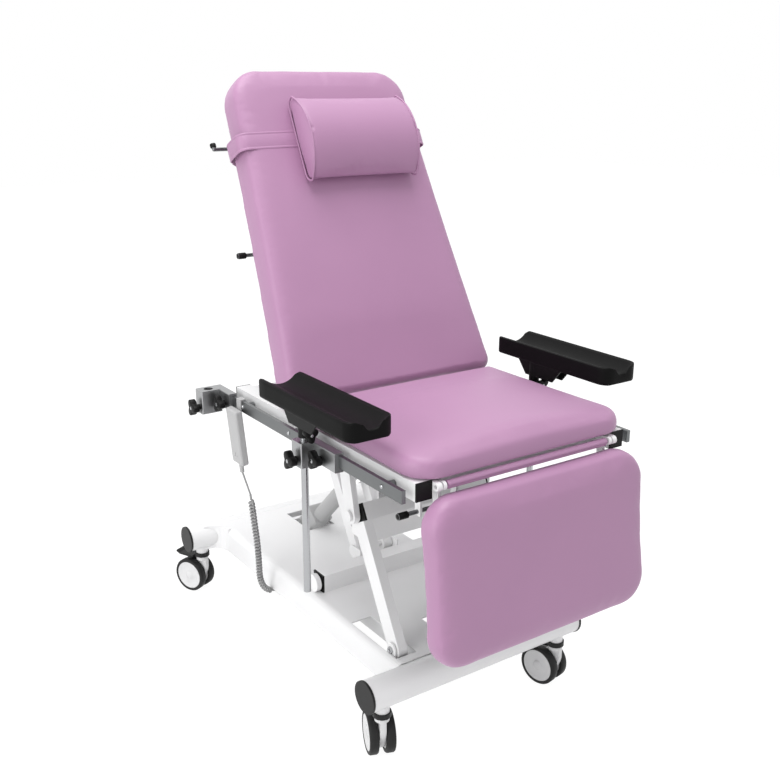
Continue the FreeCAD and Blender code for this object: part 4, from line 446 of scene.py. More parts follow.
def swollen(piece, voxel, pressure, cap, origin, out):
    """Remeshes a shell evenly, lets air press the cover outwards, and keeps each point within the cap of
    its start. The back stays flat on its board, so points below 1.5 mm move only along it."""
    grid = piece.modifiers.new("even_grid", "REMESH")
    grid.mode = "VOXEL"
    grid.voxel_size = voxel
    graph = bpy.context.evaluated_depsgraph_get()
    mesh = bpy.data.meshes.new_from_object(piece.evaluated_get(graph))
    piece.modifiers.clear()
    piece.data = mesh
    start = coords(mesh)
    end = start
    air = piece.modifiers.new("air", "CLOTH")
    air.settings.quality = 4
    air.settings.mass = 0.4
    air.settings.use_pressure = True
    air.settings.uniform_pressure_force = pressure
    air.settings.effector_weights.gravity = 0.0
    air.collision_settings.use_collision = False
    air.point_cache.frame_start, air.point_cache.frame_end = 1, SWELL_STEPS
    for step in range(1, SWELL_STEPS + 1):
        bpy.context.scene.frame_set(step)
    graph = bpy.context.evaluated_depsgraph_get()
    held = bpy.data.meshes.new_from_object(piece.evaluated_get(graph))
    end = coords(held)
    piece.modifiers.clear()
    bpy.data.meshes.remove(held)
    bpy.context.scene.frame_set(1)
    moved = end - start
    length = np.linalg.norm(moved, axis=1, keepdims=True)
    moved *= np.minimum(1, cap / np.maximum(length, 1e-9))
    level = (start - origin) @ out
    flat = level < 0.0015
    moved[flat] -= np.outer(moved[flat] @ out, out)
    return start + moved


def softened(piece, spots):
    """Moves a piece's points to their final spots and finishes it with one live subdivision."""
    piece.data.vertices.foreach_set("co", spots.ravel())
    piece.data.shade_smooth()
    finer = piece.modifiers.new("finer", "SUBSURF")
    finer.levels = finer.render_levels = 1


def upholstered(name, body, points, origin, along, out, cap, lining, keep=None):
    """One cushion from its rings: swollen, then lined where a face lies on the board, within 0.8 mm, and
    inside the lining's edges."""
    piece = shell(f"{name}_cover", placed(points, origin, along, out), vinyl)
    spots = swollen(piece, voxel=CUSHION_GRID, pressure=4.0, cap=cap, origin=origin, out=out)
    softened(piece, spots if keep is None else keep(spots))
    mesh = piece.data
    mesh.materials.clear()
    mesh.materials.append(vinyl)
    mesh.materials.append(liner)
    centres = np.empty(len(mesh.polygons) * 3)
    mesh.polygons.foreach_get("center", centres)
    local = centres.reshape(-1, 3) - origin
    low, high = points[..., 1].min() / 1000, points[..., 1].max() / 1000
    x, s, n = local[:, 0], local @ along, local @ out
    half = np.interp(s, [low, high], lining) / 1000
    inner = (n < 0.0008) & (np.abs(x) < half) & (s > low + LINING_EDGE) & (s < high - LINING_EDGE)
    mesh.polygons.foreach_set("material_index", inner.astype(np.int32))
    finished(piece, body, "upholstery", name)


vinyl = mauve_vinyl()
liner = board_lining()
tilt = math.radians(BACK_TILT)
BACK_UP = np.array([0.0, math.sin(tilt), math.cos(tilt)])
BACK_OUT = np.array([0.0, -math.cos(tilt), math.sin(tilt)])


def back_cushion():
    """Its foot is drawn down, by a square over the lowest part times the share of the thickness."""
    thick, lip_reach, lip_drop = 85, 80, 19
    origin = BACK_FOOT - BACK_OUT * thick / 1000
    points = cushion_points(halves=(326, 268), length=889, corners=(26, 94), pull=4,
                            thick=thick - START_INSET, crown=7, edge=16, thins=(0.72, 0.78), ease=140)
    points[..., 0] += OFF_CENTRE
    lip = np.clip(1 - points[..., 1] / lip_reach, 0, 1) ** 2
    points[..., 1] -= lip_drop * lip * np.clip(points[..., 2] / thick, 0, 1)

    def clear_of_seat(spots):
        """At its foot the face stays behind the seat cushion's rear; the swell starts 20 mm up and is
        whole 200 mm above that, as 3t^2 - 2t^3."""
        level, up = (spots - BACK_FOOT) @ BACK_OUT, (spots - BACK_FOOT) @ BACK_UP
        share = np.clip((up - 0.02) / 0.2, 0, 1)
        swell = np.clip(level - 0.0002, 0, None) * (1 - share ** 2 * (3 - 2 * share))
        return spots - swell[:, None] * BACK_OUT

    upholstered("back_cushion", "back", points, origin, BACK_UP, BACK_OUT, cap=0.005, lining=(290, 236),
                keep=clear_of_seat)


def seat_cushion():
    """Its rear is cut to the slope of the back, a cut that fades towards the front by a cube."""
    thick, length, foot_gap = 47, 540, 32.6
    forward, upward = np.array([0.0, -1.0, 0.0]), np.array([0.0, 0.0, 1.0])
    points = cushion_points(halves=(315, 315), length=length - 3, corners=(14, 70), pull=4, thick=thick - 1,
                            crown=20, edge=16, thins=(0.96, 0.42), ease=172)
    slope = foot_gap - points[..., 2] * math.tan(tilt)
    points[..., 1] += slope * np.clip(1 - points[..., 1] / length, 0, 1) ** 3

    def clear_of_back(spots):
        """The rear face follows the back's own face and stays 1.2 mm in front of it."""
        over = np.clip(0.0012 - (spots - BACK_FOOT) @ BACK_OUT, 0, None)
        return spots + np.outer(over / math.cos(tilt), forward)

    upholstered("seat_cushion", "seat", points, at(0, -160, 808.3), forward, upward, cap=0.004,
                lining=(280, 280), keep=clear_of_back)


def leg_cushion():
    """A plain cushion that hangs from the seat's front edge, its foot a little further forward."""
    thick = 56
    lean = math.radians(LEG_TILT)
    down = np.array([0.0, -math.sin(lean), -math.cos(lean)])
    out = np.array([0.0, -math.cos(lean), math.sin(lean)])
    origin = at(0, -737.8, 784) - out * thick / 1000
    points = cushion_points(halves=(319.5, 319.5), length=397, corners=(76, 76), pull=3,
                            thick=thick - START_INSET, crown=8, edge=16, thins=(0.62, 0.7), ease=61)
    points[..., 0] += OFF_CENTRE
    upholstered("leg_cushion", "leg_rest", points, origin, down, out, cap=0.005, lining=(275, 275))


back_cushion()
seat_cushion()
leg_cushion()

# Head pillow: a firm foam bolster with a D section, its cover closed by a panel at each end, which the
# foam bulges, and a welt of the same vinyl sewn into the seam round each panel. A strap round the back
# holds it.
PILLOW_MIDDLE, PILLOW_HALF, PILLOW_CORNER = 42, 169, 26
PILLOW_LOW, PILLOW_HIGH, PILLOW_DEPTH, PILLOW_FLOOR = 553, 783, 79, 13.4
PILLOW_CENTRE, PILLOW_TALL = (PILLOW_HIGH + PILLOW_LOW) / 2, PILLOW_HIGH - PILLOW_LOW
END_ZONE, END_BULGE, SEAM_INSET, WELT_RADIUS = 0.012, 0.0105, 0.0045, 0.0024


def pillow_section(inset):
    """The D: a flat back, quarter circles at its corners and a circular arc over the front, drawn in."""
    half, depth, corner = PILLOW_TALL / 2 - inset, PILLOW_DEPTH - 2 * inset, PILLOW_CORNER - inset
    turn = np.linspace(0, 1, 14) * math.pi / 2
    low = np.stack([-half + corner - corner * np.cos(turn), corner - corner * np.sin(turn)], 1)
    high = low[::-1] * [-1, 1]
    tall = depth - corner
    radius = (half * half + tall * tall) / (2 * tall)
    reach = math.asin(min(1.0, half / radius)) if tall < half else math.pi - math.asin(half / radius)
    sweep = np.linspace(reach, -reach, 44)[1:-1]
    bow = np.stack([radius * np.sin(sweep), corner + tall - radius + radius * np.cos(sweep)], 1)
    loop = np.concatenate([low, high, bow])
    return loop + [PILLOW_CENTRE, PILLOW_FLOOR + inset]


def pillow_place(x, loop):
    """A section's points set at one place across the back."""
    return placed(np.column_stack([np.full(len(loop), x), loop]), BACK_FOOT, BACK_UP, BACK_OUT)


def head_pillow():
    """Sections in a row, closed at the middle of both end panels. After the swelling, each end is set to
    its seam's plane plus a bulge: one less the squared distances from the panel's middle."""
    rim = pillow_section(2.5)
    middle = np.broadcast_to(rim.mean(0), rim.shape)
    end = [(1 - PILLOW_HALF, middle), (-PILLOW_HALF, pillow_section(30)), (-PILLOW_HALF, pillow_section(6)),
           (3 - PILLOW_HALF, rim)]
    inner = [(x, pillow_section(2.0)) for x in np.linspace(-PILLOW_HALF + 12, PILLOW_HALF - 12, 9)]
    rings = end + inner + [(-x, loop) for x, loop in reversed(end)]
    points = np.stack([pillow_place(PILLOW_MIDDLE + x, loop) for x, loop in rings])
    piece = shell("head_pillow_cover", points, vinyl)
    origin = BACK_FOOT + BACK_OUT * (PILLOW_FLOOR + 2) / 1000
    spots = swollen(piece, voxel=0.005, pressure=5.0, cap=0.004, origin=origin, out=BACK_OUT)
    away = (spots - BACK_FOOT) @ BACK_OUT - (PILLOW_FLOOR + 0.3) / 1000
    spots -= np.outer(np.minimum(away, 0), BACK_OUT)
    across = spots[:, 0] - SHIFT[0] - PILLOW_MIDDLE / 1000
    past_seam = np.abs(across) - PILLOW_HALF / 1000
    near_end = np.clip((past_seam + END_ZONE) / END_ZONE, 0, 1)
    up = ((spots - BACK_FOOT) @ BACK_UP * 1000 - PILLOW_CENTRE) / PILLOW_TALL * 2
    out = ((spots - BACK_FOOT) @ BACK_OUT * 1000 - PILLOW_FLOOR - PILLOW_DEPTH / 2) / PILLOW_DEPTH * 2
    bulge = END_BULGE * np.clip(1 - up ** 2 - out ** 2, 0, 1)
    spots[:, 0] += np.sign(across) * near_end * (bulge - np.clip(past_seam + SEAM_INSET, 0, None))
    softened(piece, spots)
    finished(piece, "pillow", "upholstery", "head_pillow")


def resampled(line, count):
    """A line's points spread evenly by length."""
    travel = np.concatenate([[0], np.cumsum(np.linalg.norm(np.diff(line, axis=0), axis=1))])
    even = np.linspace(0, travel[-1], count)
    return np.stack([np.interp(even, travel, line[:, k]) for k in range(line.shape[1])], 1)


def pillow_welts():
    """A round cord carried along each end panel's seam, as circles square to the seam's closed line."""
    loop = pillow_section(0.4)
    loop = resampled(np.vstack([loop, loop[:1]]), 181)[:-1]
    for side, name in ((-1, "right"), (1, "left")):
        line = pillow_place(PILLOW_MIDDLE + side * (PILLOW_HALF - 3.2), loop)
        way = np.roll(line, -1, 0) - np.roll(line, 1, 0)
        way /= np.linalg.norm(way, axis=1, keepdims=True)
        across = np.broadcast_to([1.0, 0.0, 0.0], way.shape)
        third = np.cross(way, across)
        turn = np.linspace(0, 2 * math.pi, 10, endpoint=False)[None, :, None]
        circle = across[:, None] * np.cos(turn) + third[:, None] * np.sin(turn)
        ring = line[:, None] + WELT_RADIUS * circle
        finished(shell(f"pillow_welt_{name}", ring, vinyl, closed_rows=True), "pillow", "upholstery")


head_pillow()
pillow_welts()

# Pillow strap: a flat band of folded vinyl round the back cushion and its frame, turned in and stitched
# along both edges, which lets the pillow slide up and down. Near the top it bunches up, clear of the
# lever.
STRAP_LOW, STRAP_HIGH = 656, 702


def pillow_strap():
    """The band's line runs round the back at one level: straight behind the frame and up the sides,
    quarter ellipses at the shoulders and a parabola over the face. Its section is a flat strip with a
    raised fold at each edge."""
    foot_half, taper, side_gap = 328, 58 / 887, 2.2
    half = foot_half - taper * STRAP_LOW + side_gap
    cushion, frame_tube, rear_gap = 85.3, 30, 0.3
    rear, shoulder, bow_height, face_gap, corner = -(cushion + frame_tube + rear_gap), -18, 7, 0.8, 26
    board, tube_side, bend, proud = -71, 250, 6, 3.2
    turn = np.linspace(0, math.pi / 2, 8)
    face = np.linspace(-1, 1, 40)[1:-1]
    bow = np.column_stack([face * (half - corner), face_gap + bow_height * (1 - face ** 2)])
    left_front = np.column_stack([-half + corner * (1 - np.cos(turn)),
                                  shoulder + (face_gap - shoulder) * np.sin(turn)])
    left_side = np.column_stack([np.full(6, -half), np.linspace(board, shoulder, 8)[1:-1]])
    slant = np.linspace(0, 1, 8)[:, None]
    tube_edge = np.array([-tube_side, rear + bend])
    board_edge = np.array([-half + bend * 0.4, board - bend])
    left_rear = tube_edge * (1 - slant) + board_edge * slant
    left = np.concatenate([[[-tube_side + bend, rear]], left_rear, left_side, left_front])
    loop = np.concatenate([left, bow, left[::-1] * [-1, 1]])
    tangent = np.roll(loop, -1, 0) - np.roll(loop, 1, 0)
    out = np.stack([-tangent[:, 1], tangent[:, 0]], 1)
    out /= np.linalg.norm(out, axis=1, keepdims=True)
    stand_off = proud * np.clip((loop[:, 1:] + 90) / 20, 0, 1)
    loop = loop + out * stand_off + [OFF_CENTRE, 0] * (stand_off > 0)
    share = np.array([0.0, 0.0, 0.05, 0.1, 0.13, 0.16, 0.5, 0.84, 0.87, 0.9, 0.95, 1.0, 1.0, 0.5])
    lift = np.array([0.1, 1.6, 2.5, 2.3, 1.5, 1.9, 2.0, 1.9, 1.5, 2.3, 2.5, 1.6, 0.1, 0.0])
    up = STRAP_LOW + (STRAP_HIGH - STRAP_LOW) * share
    flat = loop[:, None] + out[:, None] * lift[None, :, None]
    up = np.broadcast_to(up[None, :, None], flat.shape[:2] + (1,))
    points = placed(np.concatenate([flat[..., :1], up, flat[..., 1:]], -1), BACK_FOOT, BACK_UP, BACK_OUT)
    strap = shell("pillow_strap_band", points, vinyl, closed_rows=True, crease=60)
    finished(strap, "pillow", "upholstery", "pillow_strap")
    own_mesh(strap)


pillow_strap()

# Front roll: two thin foam beads in one vinyl sleeve, sewn between them, that close the gap between the
# seat and the leg rest. It turns on a steel rod.
ROLL_ALONG, ROLL_LEVEL, ROLL_HALF, ROLL_RADIUS = -692, 795.5, 238, 9.2
SEAM_TURN, SEAM_DIP, BEAD_RISE = 203, 0.30, 0.9


def front_roll():
    """The section is a circle drawn in by a narrow bell curve at the seam, with a wider and lower one
    beside it that raises the bead. The seam faces the front."""
    turn = np.linspace(0, 2 * math.pi, 48, endpoint=False)
    gap = np.abs((turn - math.radians(SEAM_TURN) + math.pi) % (2 * math.pi) - math.pi)
    dip, rise = SEAM_DIP * np.exp(-(gap / 0.2) ** 2), BEAD_RISE * np.exp(-((gap - 0.75) / 0.4) ** 2)
    radius = ROLL_RADIUS * (1 - dip) + rise
    section = np.column_stack([radius * np.cos(turn), radius * np.sin(turn)])
    rows = [(-ROLL_HALF, 0.0), (-ROLL_HALF, 0.82), (-ROLL_HALF + 2, 0.97)]
    rows += [(x, 1.0) for x in np.linspace(-ROLL_HALF + 5, ROLL_HALF - 5, 12)]
    rows += [(-x, scale) for x, scale in reversed(rows[:3])]
    points = np.stack([np.column_stack([np.full(len(turn), x), section * scale]) for x, scale in rows])
    roll = shell("front_roll_sleeve", at(0, ROLL_ALONG, ROLL_LEVEL) + points / 1000, vinyl)
    finished(roll, "seat", "upholstery", "front_roll")


front_roll()

# Arm pads: moulded foam with a black skin, hollowed along its length so that a forearm lies in it. The
# front corners are round, and the skin turns over every edge. A steel bracket carries each from below.
PAD_HALF, PAD_LOW, PAD_HIGH, PAD_FRONT, PAD_REAR = 59, 896, 942, -611, -205
PAD_HOLLOW, PAD_RIM, PAD_EDGE, PAD_FRONT_CORNER, PAD_REAR_CORNER = 21, 10, 7, 30, 9
PAD_ACROSS, PAD_RUN, PAD_CREST, PAD_KEEL = 370, 44, 4, 6


def foam_skin():
    """Black polyurethane skin: satin, with a leather-like pebble drawn at 1.5 mm and faint uneven wear."""
    material, tree = blank("foam_skin")
    spot = add(tree, "ShaderNodeTexCoord").outputs["Object"]
    grain = add(tree, "ShaderNodeTexVoronoi", {"Vector": spot, "Scale": 650.0}, feature="SMOOTH_F1")
    wear = add(tree, "ShaderNodeTexNoise", {"Vector": spot, "Scale": 9.0, "Detail": 3.0}).outputs["Fac"]
    tint = add(tree, "ShaderNodeMix", {0: wear, 6: linear("#080808"), 7: linear("#0E0E0E")}, data_type="RGBA")
    rough = add(tree, "ShaderNodeMapRange", {"Value": wear, "To Min": 0.42, "To Max": 0.58})
    bump = add(tree, "ShaderNodeBump", {
        "Strength": 0.25, "Distance": 0.0004, "Height": grain.outputs["Distance"]})
    skin = add(tree, "ShaderNodeBsdfPrincipled", {
        "Base Color": tint.outputs[2], "Roughness": rough.outputs[0], "Normal": bump.outputs[0],
        "Specular IOR Level": 0.08})
    add(tree, "ShaderNodeOutputMaterial", {"Surface": skin.outputs[0]})
    return material


def pad_section(inset):
    """The U of the pad: round the outside from rim to rim, with circular arcs at its corners, then back
    along the hollow, a parabola. Both runs have the same number of points."""
    half, low, high, rim = PAD_HALF - inset, PAD_LOW + inset, PAD_HIGH - inset, PAD_RIM / 2
    turn = np.linspace(0, math.pi / 2, 7)
    arc = lambda x, z, r: np.column_stack([x + r * np.cos(turn), z + r * np.sin(turn)])
    crest = PAD_HALF - rim
    upper_corner = arc(half - PAD_CREST, high - PAD_CREST, PAD_CREST)
    lower_corner = arc(half - PAD_KEEL, low + PAD_KEEL, PAD_KEEL) * [1, -1] + [0, 2 * (low + PAD_KEEL)]
    outside = np.concatenate([[[crest, high]], upper_corner[::-1], lower_corner])
    outside = np.concatenate([outside * [-1, 1], outside[::-1]])
    across = np.linspace(-1, 1, 41)
    hollow = np.column_stack([across * (PAD_HALF - PAD_RIM), high - PAD_HOLLOW * (1 - across ** 2)])
    hollow = np.concatenate([[[-crest, high]], hollow[1:-1], [[crest, high]]])
    return np.concatenate([resampled(outside, PAD_RUN), resampled(hollow, PAD_RUN)[::-1]])


def arm_pad(name, side):
    """Sections in a row, closed by a flat end that joins the two runs of each end's section."""

    def ring(along, t, corner):
        """A section at a distance t from an end: drawn in, and narrowed in plan, by quarter circles."""
        inset = PAD_EDGE - math.sqrt(PAD_EDGE ** 2 - (PAD_EDGE - min(t, PAD_EDGE)) ** 2)
        narrow = corner - math.sqrt(corner ** 2 - (corner - min(t, corner)) ** 2)
        loop = pad_section(inset * 0.8)
        across = loop[:, 0] * (1 - narrow / PAD_HALF)
        return np.column_stack([across, np.full(len(loop), along), loop[:, 1]])

    first = [ring(PAD_FRONT + t, t, PAD_FRONT_CORNER) for t in (0, 0.5, 1.6, 3.4, 7, 11, 16, 22, 30)]
    last = [ring(PAD_REAR - t, t, PAD_REAR_CORNER) for t in (9, 5, 3, 1.4, 0.5, 0)]
    middle = [ring(y, PAD_HALF, PAD_FRONT_CORNER) for y in np.linspace(PAD_FRONT + 60, PAD_REAR - 40, 8)]
    closed = lambda loop: (loop + loop[::-1]) / 2
    rings = np.stack([closed(first[0])] + first + middle + last + [closed(last[-1])])
    pad = shell(f"arm_pad_{name}_foam", at(side * PAD_ACROSS, 0, 0) + rings / 1000, foam)
    finished(pad, f"arm_rest_{name}", "black_plastic", f"arm_pad_{name}")


foam = foam_skin()
for name, side in (("right", -1), ("left", 1)):
    arm_pad(name, side)

# Hard parts that show as they were built: tubes and sheet with a powder coat, brushed steel rails, milled
# clamps, turned posts, a hard chromed rod, and moulded plastics and rubber, all bolted or screwed
# together.


def coated(name, low, high, rough, grain, strength, metallic=0.0, stretch=(1, 1, 1), clear=0.0, glint=0.5):
    """A finish that drifts between two colours and two roughnesses by a wide noise, under a fine noise
    that may be drawn out along an axis: orange peel, a mould's satin or brush marks."""
    material, tree = blank(name)
    spot = add(tree, "ShaderNodeTexCoord").outputs["Object"]
    drift = add(tree, "ShaderNodeTexNoise", {"Vector": spot, "Scale": 7.0, "Detail": 3.0}).outputs["Fac"]
    size = add(tree, "ShaderNodeMapping", {"Vector": spot, "Scale": stretch}).outputs[0]
    fine = add(tree, "ShaderNodeTexNoise", {"Vector": size, "Scale": grain, "Detail": 2.0}).outputs["Fac"]
    tint = add(tree, "ShaderNodeMix", {0: drift, 6: linear(low), 7: linear(high)}, data_type="RGBA")
    both = add(tree, "ShaderNodeMath", {0: drift, 1: fine}, operation="ADD")
    shine = add(tree, "ShaderNodeMapRange", {
        "Value": both.outputs[0], "From Max": 2.0, "To Min": rough[0], "To Max": rough[1]})
    bump = add(tree, "ShaderNodeBump", {"Strength": strength, "Distance": 0.0002, "Height": fine})
    skin = add(tree, "ShaderNodeBsdfPrincipled", {
        "Base Color": tint.outputs[2], "Roughness": shine.outputs[0], "Normal": bump.outputs[0],
        "Metallic": metallic, "Coat Weight": clear, "Coat Roughness": 0.12, "Specular IOR Level": glint})
    add(tree, "ShaderNodeOutputMaterial", {"Surface": skin.outputs[0]})
    return material


white_paint = coated("white_powder_coat", "#E6E6E6", "#EAEAEA", (0.3, 0.42), 700.0, 0.1)
black_paint = coated("black_powder_coat", "#111111", "#191919", (0.38, 0.55), 800.0, 0.2, glint=0.15)
rail_steel = coated("brushed_rail_steel", "#6C6E6F", "#7C7E7F", (0.2, 0.42), 420.0, 0.1, 1.0, (1, 0.03, 1))
block_steel = coated("milled_block_steel", "#A2A3A4", "#B2B3B4", (0.3, 0.46), 420.0, 0.12, 1.0, (1, 0.05, 1))
rod_steel = coated("turned_rod_steel", "#A9AAAC", "#B9BABC", (0.14, 0.3), 500.0, 0.06, 1.0, (0.05, 0.05, 1))
chrome = coated("hard_chrome", "#C9CACC", "#D2D3D5", (0.05, 0.1), 900.0, 0.02, 1.0)
black_plastic = coated("black_moulded_plastic", "#0E0E0E", "#161616", (0.32, 0.5), 900.0, 0.25, glint=0.15)
dark_plastic = coated("dark_moulded_plastic", "#1C1C1C", "#262626", (0.35, 0.5), 900.0, 0.2, glint=0.2)
grey_plastic = coated("grey_case_plastic", "#A6A6A6", "#B0B0B0", (0.34, 0.5), 1100.0, 0.3)
shell_plastic = coated("caster_shell_plastic", "#D2D2D2", "#DADADA", (0.2, 0.32), 900.0, 0.06, clear=0.3)
tyre_rubber = coated("caster_tyre_rubber", "#202020", "#2A2A2A", (0.42, 0.6), 600.0, 0.25, glint=0.2)
FINISHES = {
    "white_paint": white_paint, "steel_rail": rail_steel, "black_plastic": black_plastic,
    "bracket_paint": black_paint, "grey_plastic": grey_plastic, "dark_plastic": dark_plastic,
    "chromed_rod": chrome, "cord_skin": grey_pvc, "caster_shell": shell_plastic, "caster_tyre": tyre_rubber,
    "upholstery": vinyl,
}
OWN_STEEL = {
    "arm_post_right": rod_steel, "arm_post_left": rod_steel, "pole_clamp": block_steel,
    "arm_clamp_right": block_steel, "arm_clamp_left": block_steel,
}
for part in frame["record"]["subparts"]:
    finish = OWN_STEEL.get(part["node"], FINISHES[part["material_slot"]])
    for place in frame["nodes"][part["node"]].material_slots:
        place.material = finish

# Lobed knobs: black moulded plastic with three round lobes on a short neck. Each is moulded round the
# head of a steel screw, whose end shows in a dimple.
KNOB_RADIUS, KNOB_LOBE, NECK_RADIUS = 19, 5.5, 8


def lathe(name, profile, centre, axis, material, sides=48, crease=40, closed=False):
    """A profile of places along an axis and radii, in millimetres, turned round that axis."""
    axis = np.array(axis, float) / np.linalg.norm(axis)
    side = np.cross(axis, [0.0, 0.0, 1.0] if abs(axis[2]) < 0.9 else [1.0, 0.0, 0.0])
    side /= np.linalg.norm(side)
    third = np.cross(axis, side)
    turn = np.linspace(0, 2 * math.pi, sides, endpoint=False)[None, :, None]
    profile = np.array(profile, float)[:, None, :] / 1000
    circle = side * np.cos(turn) + third * np.sin(turn)
    points = centre + axis * profile[..., :1] + profile[..., 1:] * circle
    return shell(name, points, material, closed_rows=closed, crease=crease)


def knob(node, body, spot, way, side, share=1.0):
    """Rings along the screw; their radius is a circle plus a cosine that repeats three times a turn."""
    way, side = np.array(way, float), np.array(side, float)
    third = np.cross(way, side)
    turn = np.linspace(0, 2 * math.pi, 72, endpoint=False)
    lobes = (KNOB_RADIUS + KNOB_LOBE * np.cos(3 * turn - math.pi / 2)) * share
    plain = np.ones_like(turn)
    rows = [
        (0, 0 * plain), (0, NECK_RADIUS * plain), (6.6, NECK_RADIUS * plain), (8, 9.5 * share * plain),
        (8, lobes - 3), (8.8, lobes - 0.9), (10.5, lobes), (23.5, lobes), (25.1, lobes - 0.9),
        (26, lobes - 3.2), (26, 7 * share * plain), (25, 6.4 * share * plain), (25, 0 * plain),
    ]
    ring = side * np.cos(turn)[:, None] + third * np.sin(turn)[:, None]
    points = np.stack([spot + (way * height + ring * reach[:, None]) / 1000 for height, reach in rows])
    finished(shell(f"{node}_grip", points, black_plastic), body, "black_plastic", node)
    screw = [(24.6, 0), (24.6, 5 * share), (25.6, 5 * share), (26.1, 4 * share), (26.1, 0)]
    finished(lathe(f"{node}_screw", screw, spot, way, rod_steel, sides=24), body, "steel_rail")


for name, side in (("right", -1), ("left", 1)):
    out, turned = (side, 0, 0), (0, 0, -side)
    knob(f"arm_knob_rail_{name}", f"arm_rail_knob_{name}", at(side * 352, -362, 772), out, turned)
    knob(f"arm_knob_post_{name}", f"arm_post_knob_{name}", at(side * 384, -303, 760), out, turned)
    knob(f"arm_knob_swivel_{name}", f"arm_swivel_knob_{name}", at(side * 362, -317, 825), (0, -1, 0),
         (1, 0, 0), share=0.82)
knob("pole_knob_rail", "pole_rail_knob", at(-352, 150, 772), (-1, 0, 0), (0, 0, 1))
knob("pole_knob_pole", "pole_pole_knob", at(-405, 200, 757), (-1, 0, 0), (0, 0, 1))

# Casters: a white plastic hood on a swivel stem, between a pair of wheels. Each wheel is a dark rubber
# tyre round a light dished disc. Each caster stands at its own angle, in degrees.
WHEEL, TREAD_GAP, TRAIL, AXLE_LEVEL, HOOD = 55, 21, 34, 77, 40
CASTER_ACROSS, CASTER_ALONG = 285.6, 519.4
SWIVELS = {"front_right": -21.5, "front_left": 11.5, "rear_right": 25.5, "rear_left": 12}


def joined(name, pieces):
    """One piece from several that share a material."""
    work = bmesh.new()
    for piece in pieces:
        work.from_mesh(piece.data)
    whole, *others = pieces
    work.to_mesh(whole.data)
    work.free()
    for piece in others:
        bpy.data.objects.remove(piece)
    whole.name = whole.data.name = name
    return whole


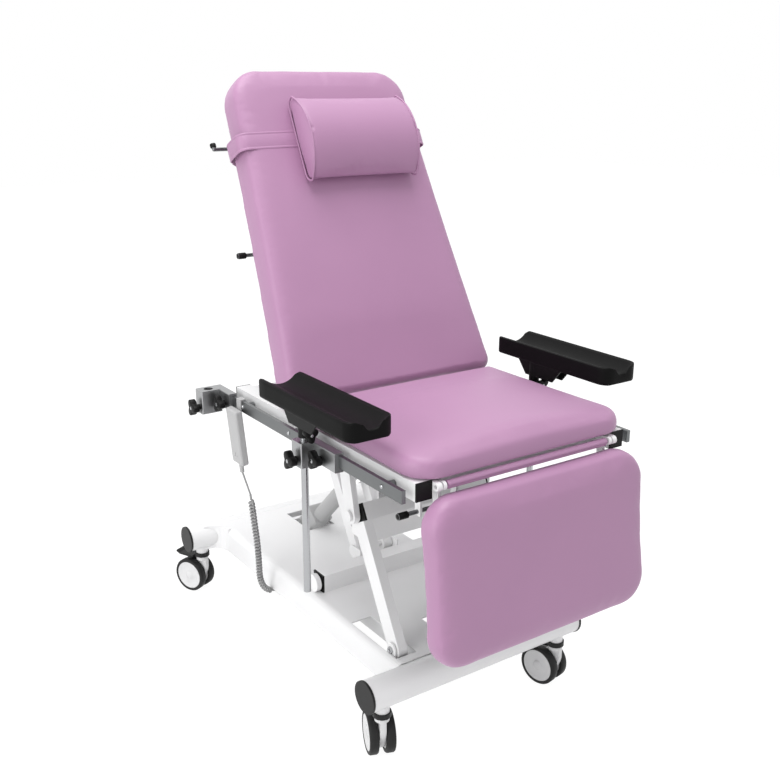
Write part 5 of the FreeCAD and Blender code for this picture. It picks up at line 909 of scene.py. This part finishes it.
def caster(name, across, along, swivel):
    """Tyres and discs are profiles turned round the axle; the hood is a side view, a circular arc round
    the axle closed up to the stem, carried across with its edges drawn in."""
    turn = math.radians(swivel)
    right = np.array([math.cos(turn), math.sin(turn), 0.0])
    behind = np.array([-math.sin(turn), math.cos(turn), 0.0])
    stem = at(across, along, 0)
    axle = stem + behind * TRAIL / 1000 + np.array([0.0, 0.0, AXLE_LEVEL / 1000])
    tread = [(-12, 44), (-12, 50), (-11, 53), (-8, WHEEL), (8, WHEEL), (11, 53), (12, 50.5), (12, 46.5),
             (11.2, 45), (-11, 44)]
    face = [(-11, 0), (-11, 45), (10.4, 45.2), (11, 44), (10, 41), (7.6, 36), (6.8, 26), (7.2, 15),
            (8.8, 13), (10, 11.5), (10.4, 0)]
    tyres, discs = [], []
    for side in (-1, 1):
        middle = axle + right * side * (TREAD_GAP / 1000)
        tyres.append(lathe("tyre", tread, middle, right * side, tyre_rubber, sides=64, closed=True))
        discs.append(lathe("disc", face, middle, right * side, shell_plastic))
    finished(joined(f"caster_{name}_tyres", tyres), f"wheels_{name}", "caster_tyre", f"caster_{name}_wheels")
    finished(joined(f"caster_{name}_discs", discs), f"wheels_{name}", "caster_shell")

    arc = np.radians(np.linspace(190, 455, 30))
    round_end = np.column_stack([TRAIL + HOOD * np.cos(arc), AXLE_LEVEL + HOOD * np.sin(arc)])
    front, rear = [(-18.5, 142), (-18.5, 108), (-15, 92)], [(29.5, 122), (26, 126.5), (19, 128), (18.5, 142)]
    side_view = np.concatenate([front, round_end, rear])
    core = np.array([15.0, 90.0])
    rows = [(-8, 0.0), (-8, 0.95), (-7.4, 0.985), (-6, 1.0), (6, 1.0), (7.4, 0.985), (8, 0.95), (8, 0.0)]
    flat = np.stack([np.column_stack([np.full(len(side_view), x), core + (side_view - core) * scale])
                     for x, scale in rows])
    web = stem + (flat[..., :1] * right + flat[..., 1:2] * behind + flat[..., 2:] * [0.0, 0.0, 1.0]) / 1000
    neck = [(132, 0), (132, 17), (133.2, 18.7), (135, 19), (143, 19), (145, 17.5), (145, 0)]
    hood = [shell("web", web, shell_plastic), lathe("neck", neck, stem, (0, 0, 1), shell_plastic)]
    finished(joined(f"caster_{name}_hood", hood), f"caster_{name}", "caster_shell", f"caster_{name}_housing")


for name, swivel in SWIVELS.items():
    end, side = name.split("_")
    across = -CASTER_ACROSS if side == "right" else CASTER_ACROSS
    caster(name, across, -CASTER_ALONG if end == "front" else CASTER_ALONG, swivel)

# Small fittings: soft black sleeves pushed on the release levers' tips, domed steel screws through the
# rails, and hexagon nuts at the lift arms' feet.
SCREW_DOME = [(0, 0), (0, 5.2), (1, 5.2), (2.2, 4.2), (3, 2.4), (3.2, 0)]
FOOT_NUT = [(0, 0), (0, 9.5), (5.4, 9.5), (6.2, 8.2), (6.2, 5), (8.5, 5), (9, 4.2), (9, 0)]


def sleeve(name, body, start, axis, length):
    """A tube turned round the lever's tip, with a rounded far end."""
    ridge = [(0, 0), (0, 7.2), (1, 8.2), (length - 3.5, 8.2), (length - 1.2, 6.8), (length, 3.5), (length, 0)]
    finished(lathe(name, ridge, start, axis, black_plastic, sides=32), body, "black_plastic")


def on_back(across, up, out):
    """The back's foot plus millimetres across, up along the back and out from its face, over 1000."""
    return BACK_FOOT + [across / 1000, 0, 0] + BACK_UP * up / 1000 + BACK_OUT * out / 1000


sleeve("back_lever_upper_sleeve", "release_upper", on_back(-296, 719.5, -127), BACK_UP, 12)
sleeve("back_lever_lower_sleeve", "release_lower", on_back(-281, 418, -127), (-1, 0, 0), 24)
sleeve("leg_lever_sleeve", "release_leg", at(-273, -600, 701), (-1, 0, 0), 28)
for name, side in (("right", -1), ("left", 1)):
    way = (side, 0, 0)
    heads = [lathe("head", SCREW_DOME, at(side * 342, along, 783), way, rod_steel, sides=24)
             for along in (-600, -190, 60)]
    finished(joined(f"rail_screws_{name}", heads), "seat", "steel_rail")
    nut = lathe(f"lift_foot_bolt_{name}", FOOT_NUT, at(side * 207, -443, 258), way, rod_steel, sides=6,
                crease=20)
    finished(nut, "base", "steel_rail")
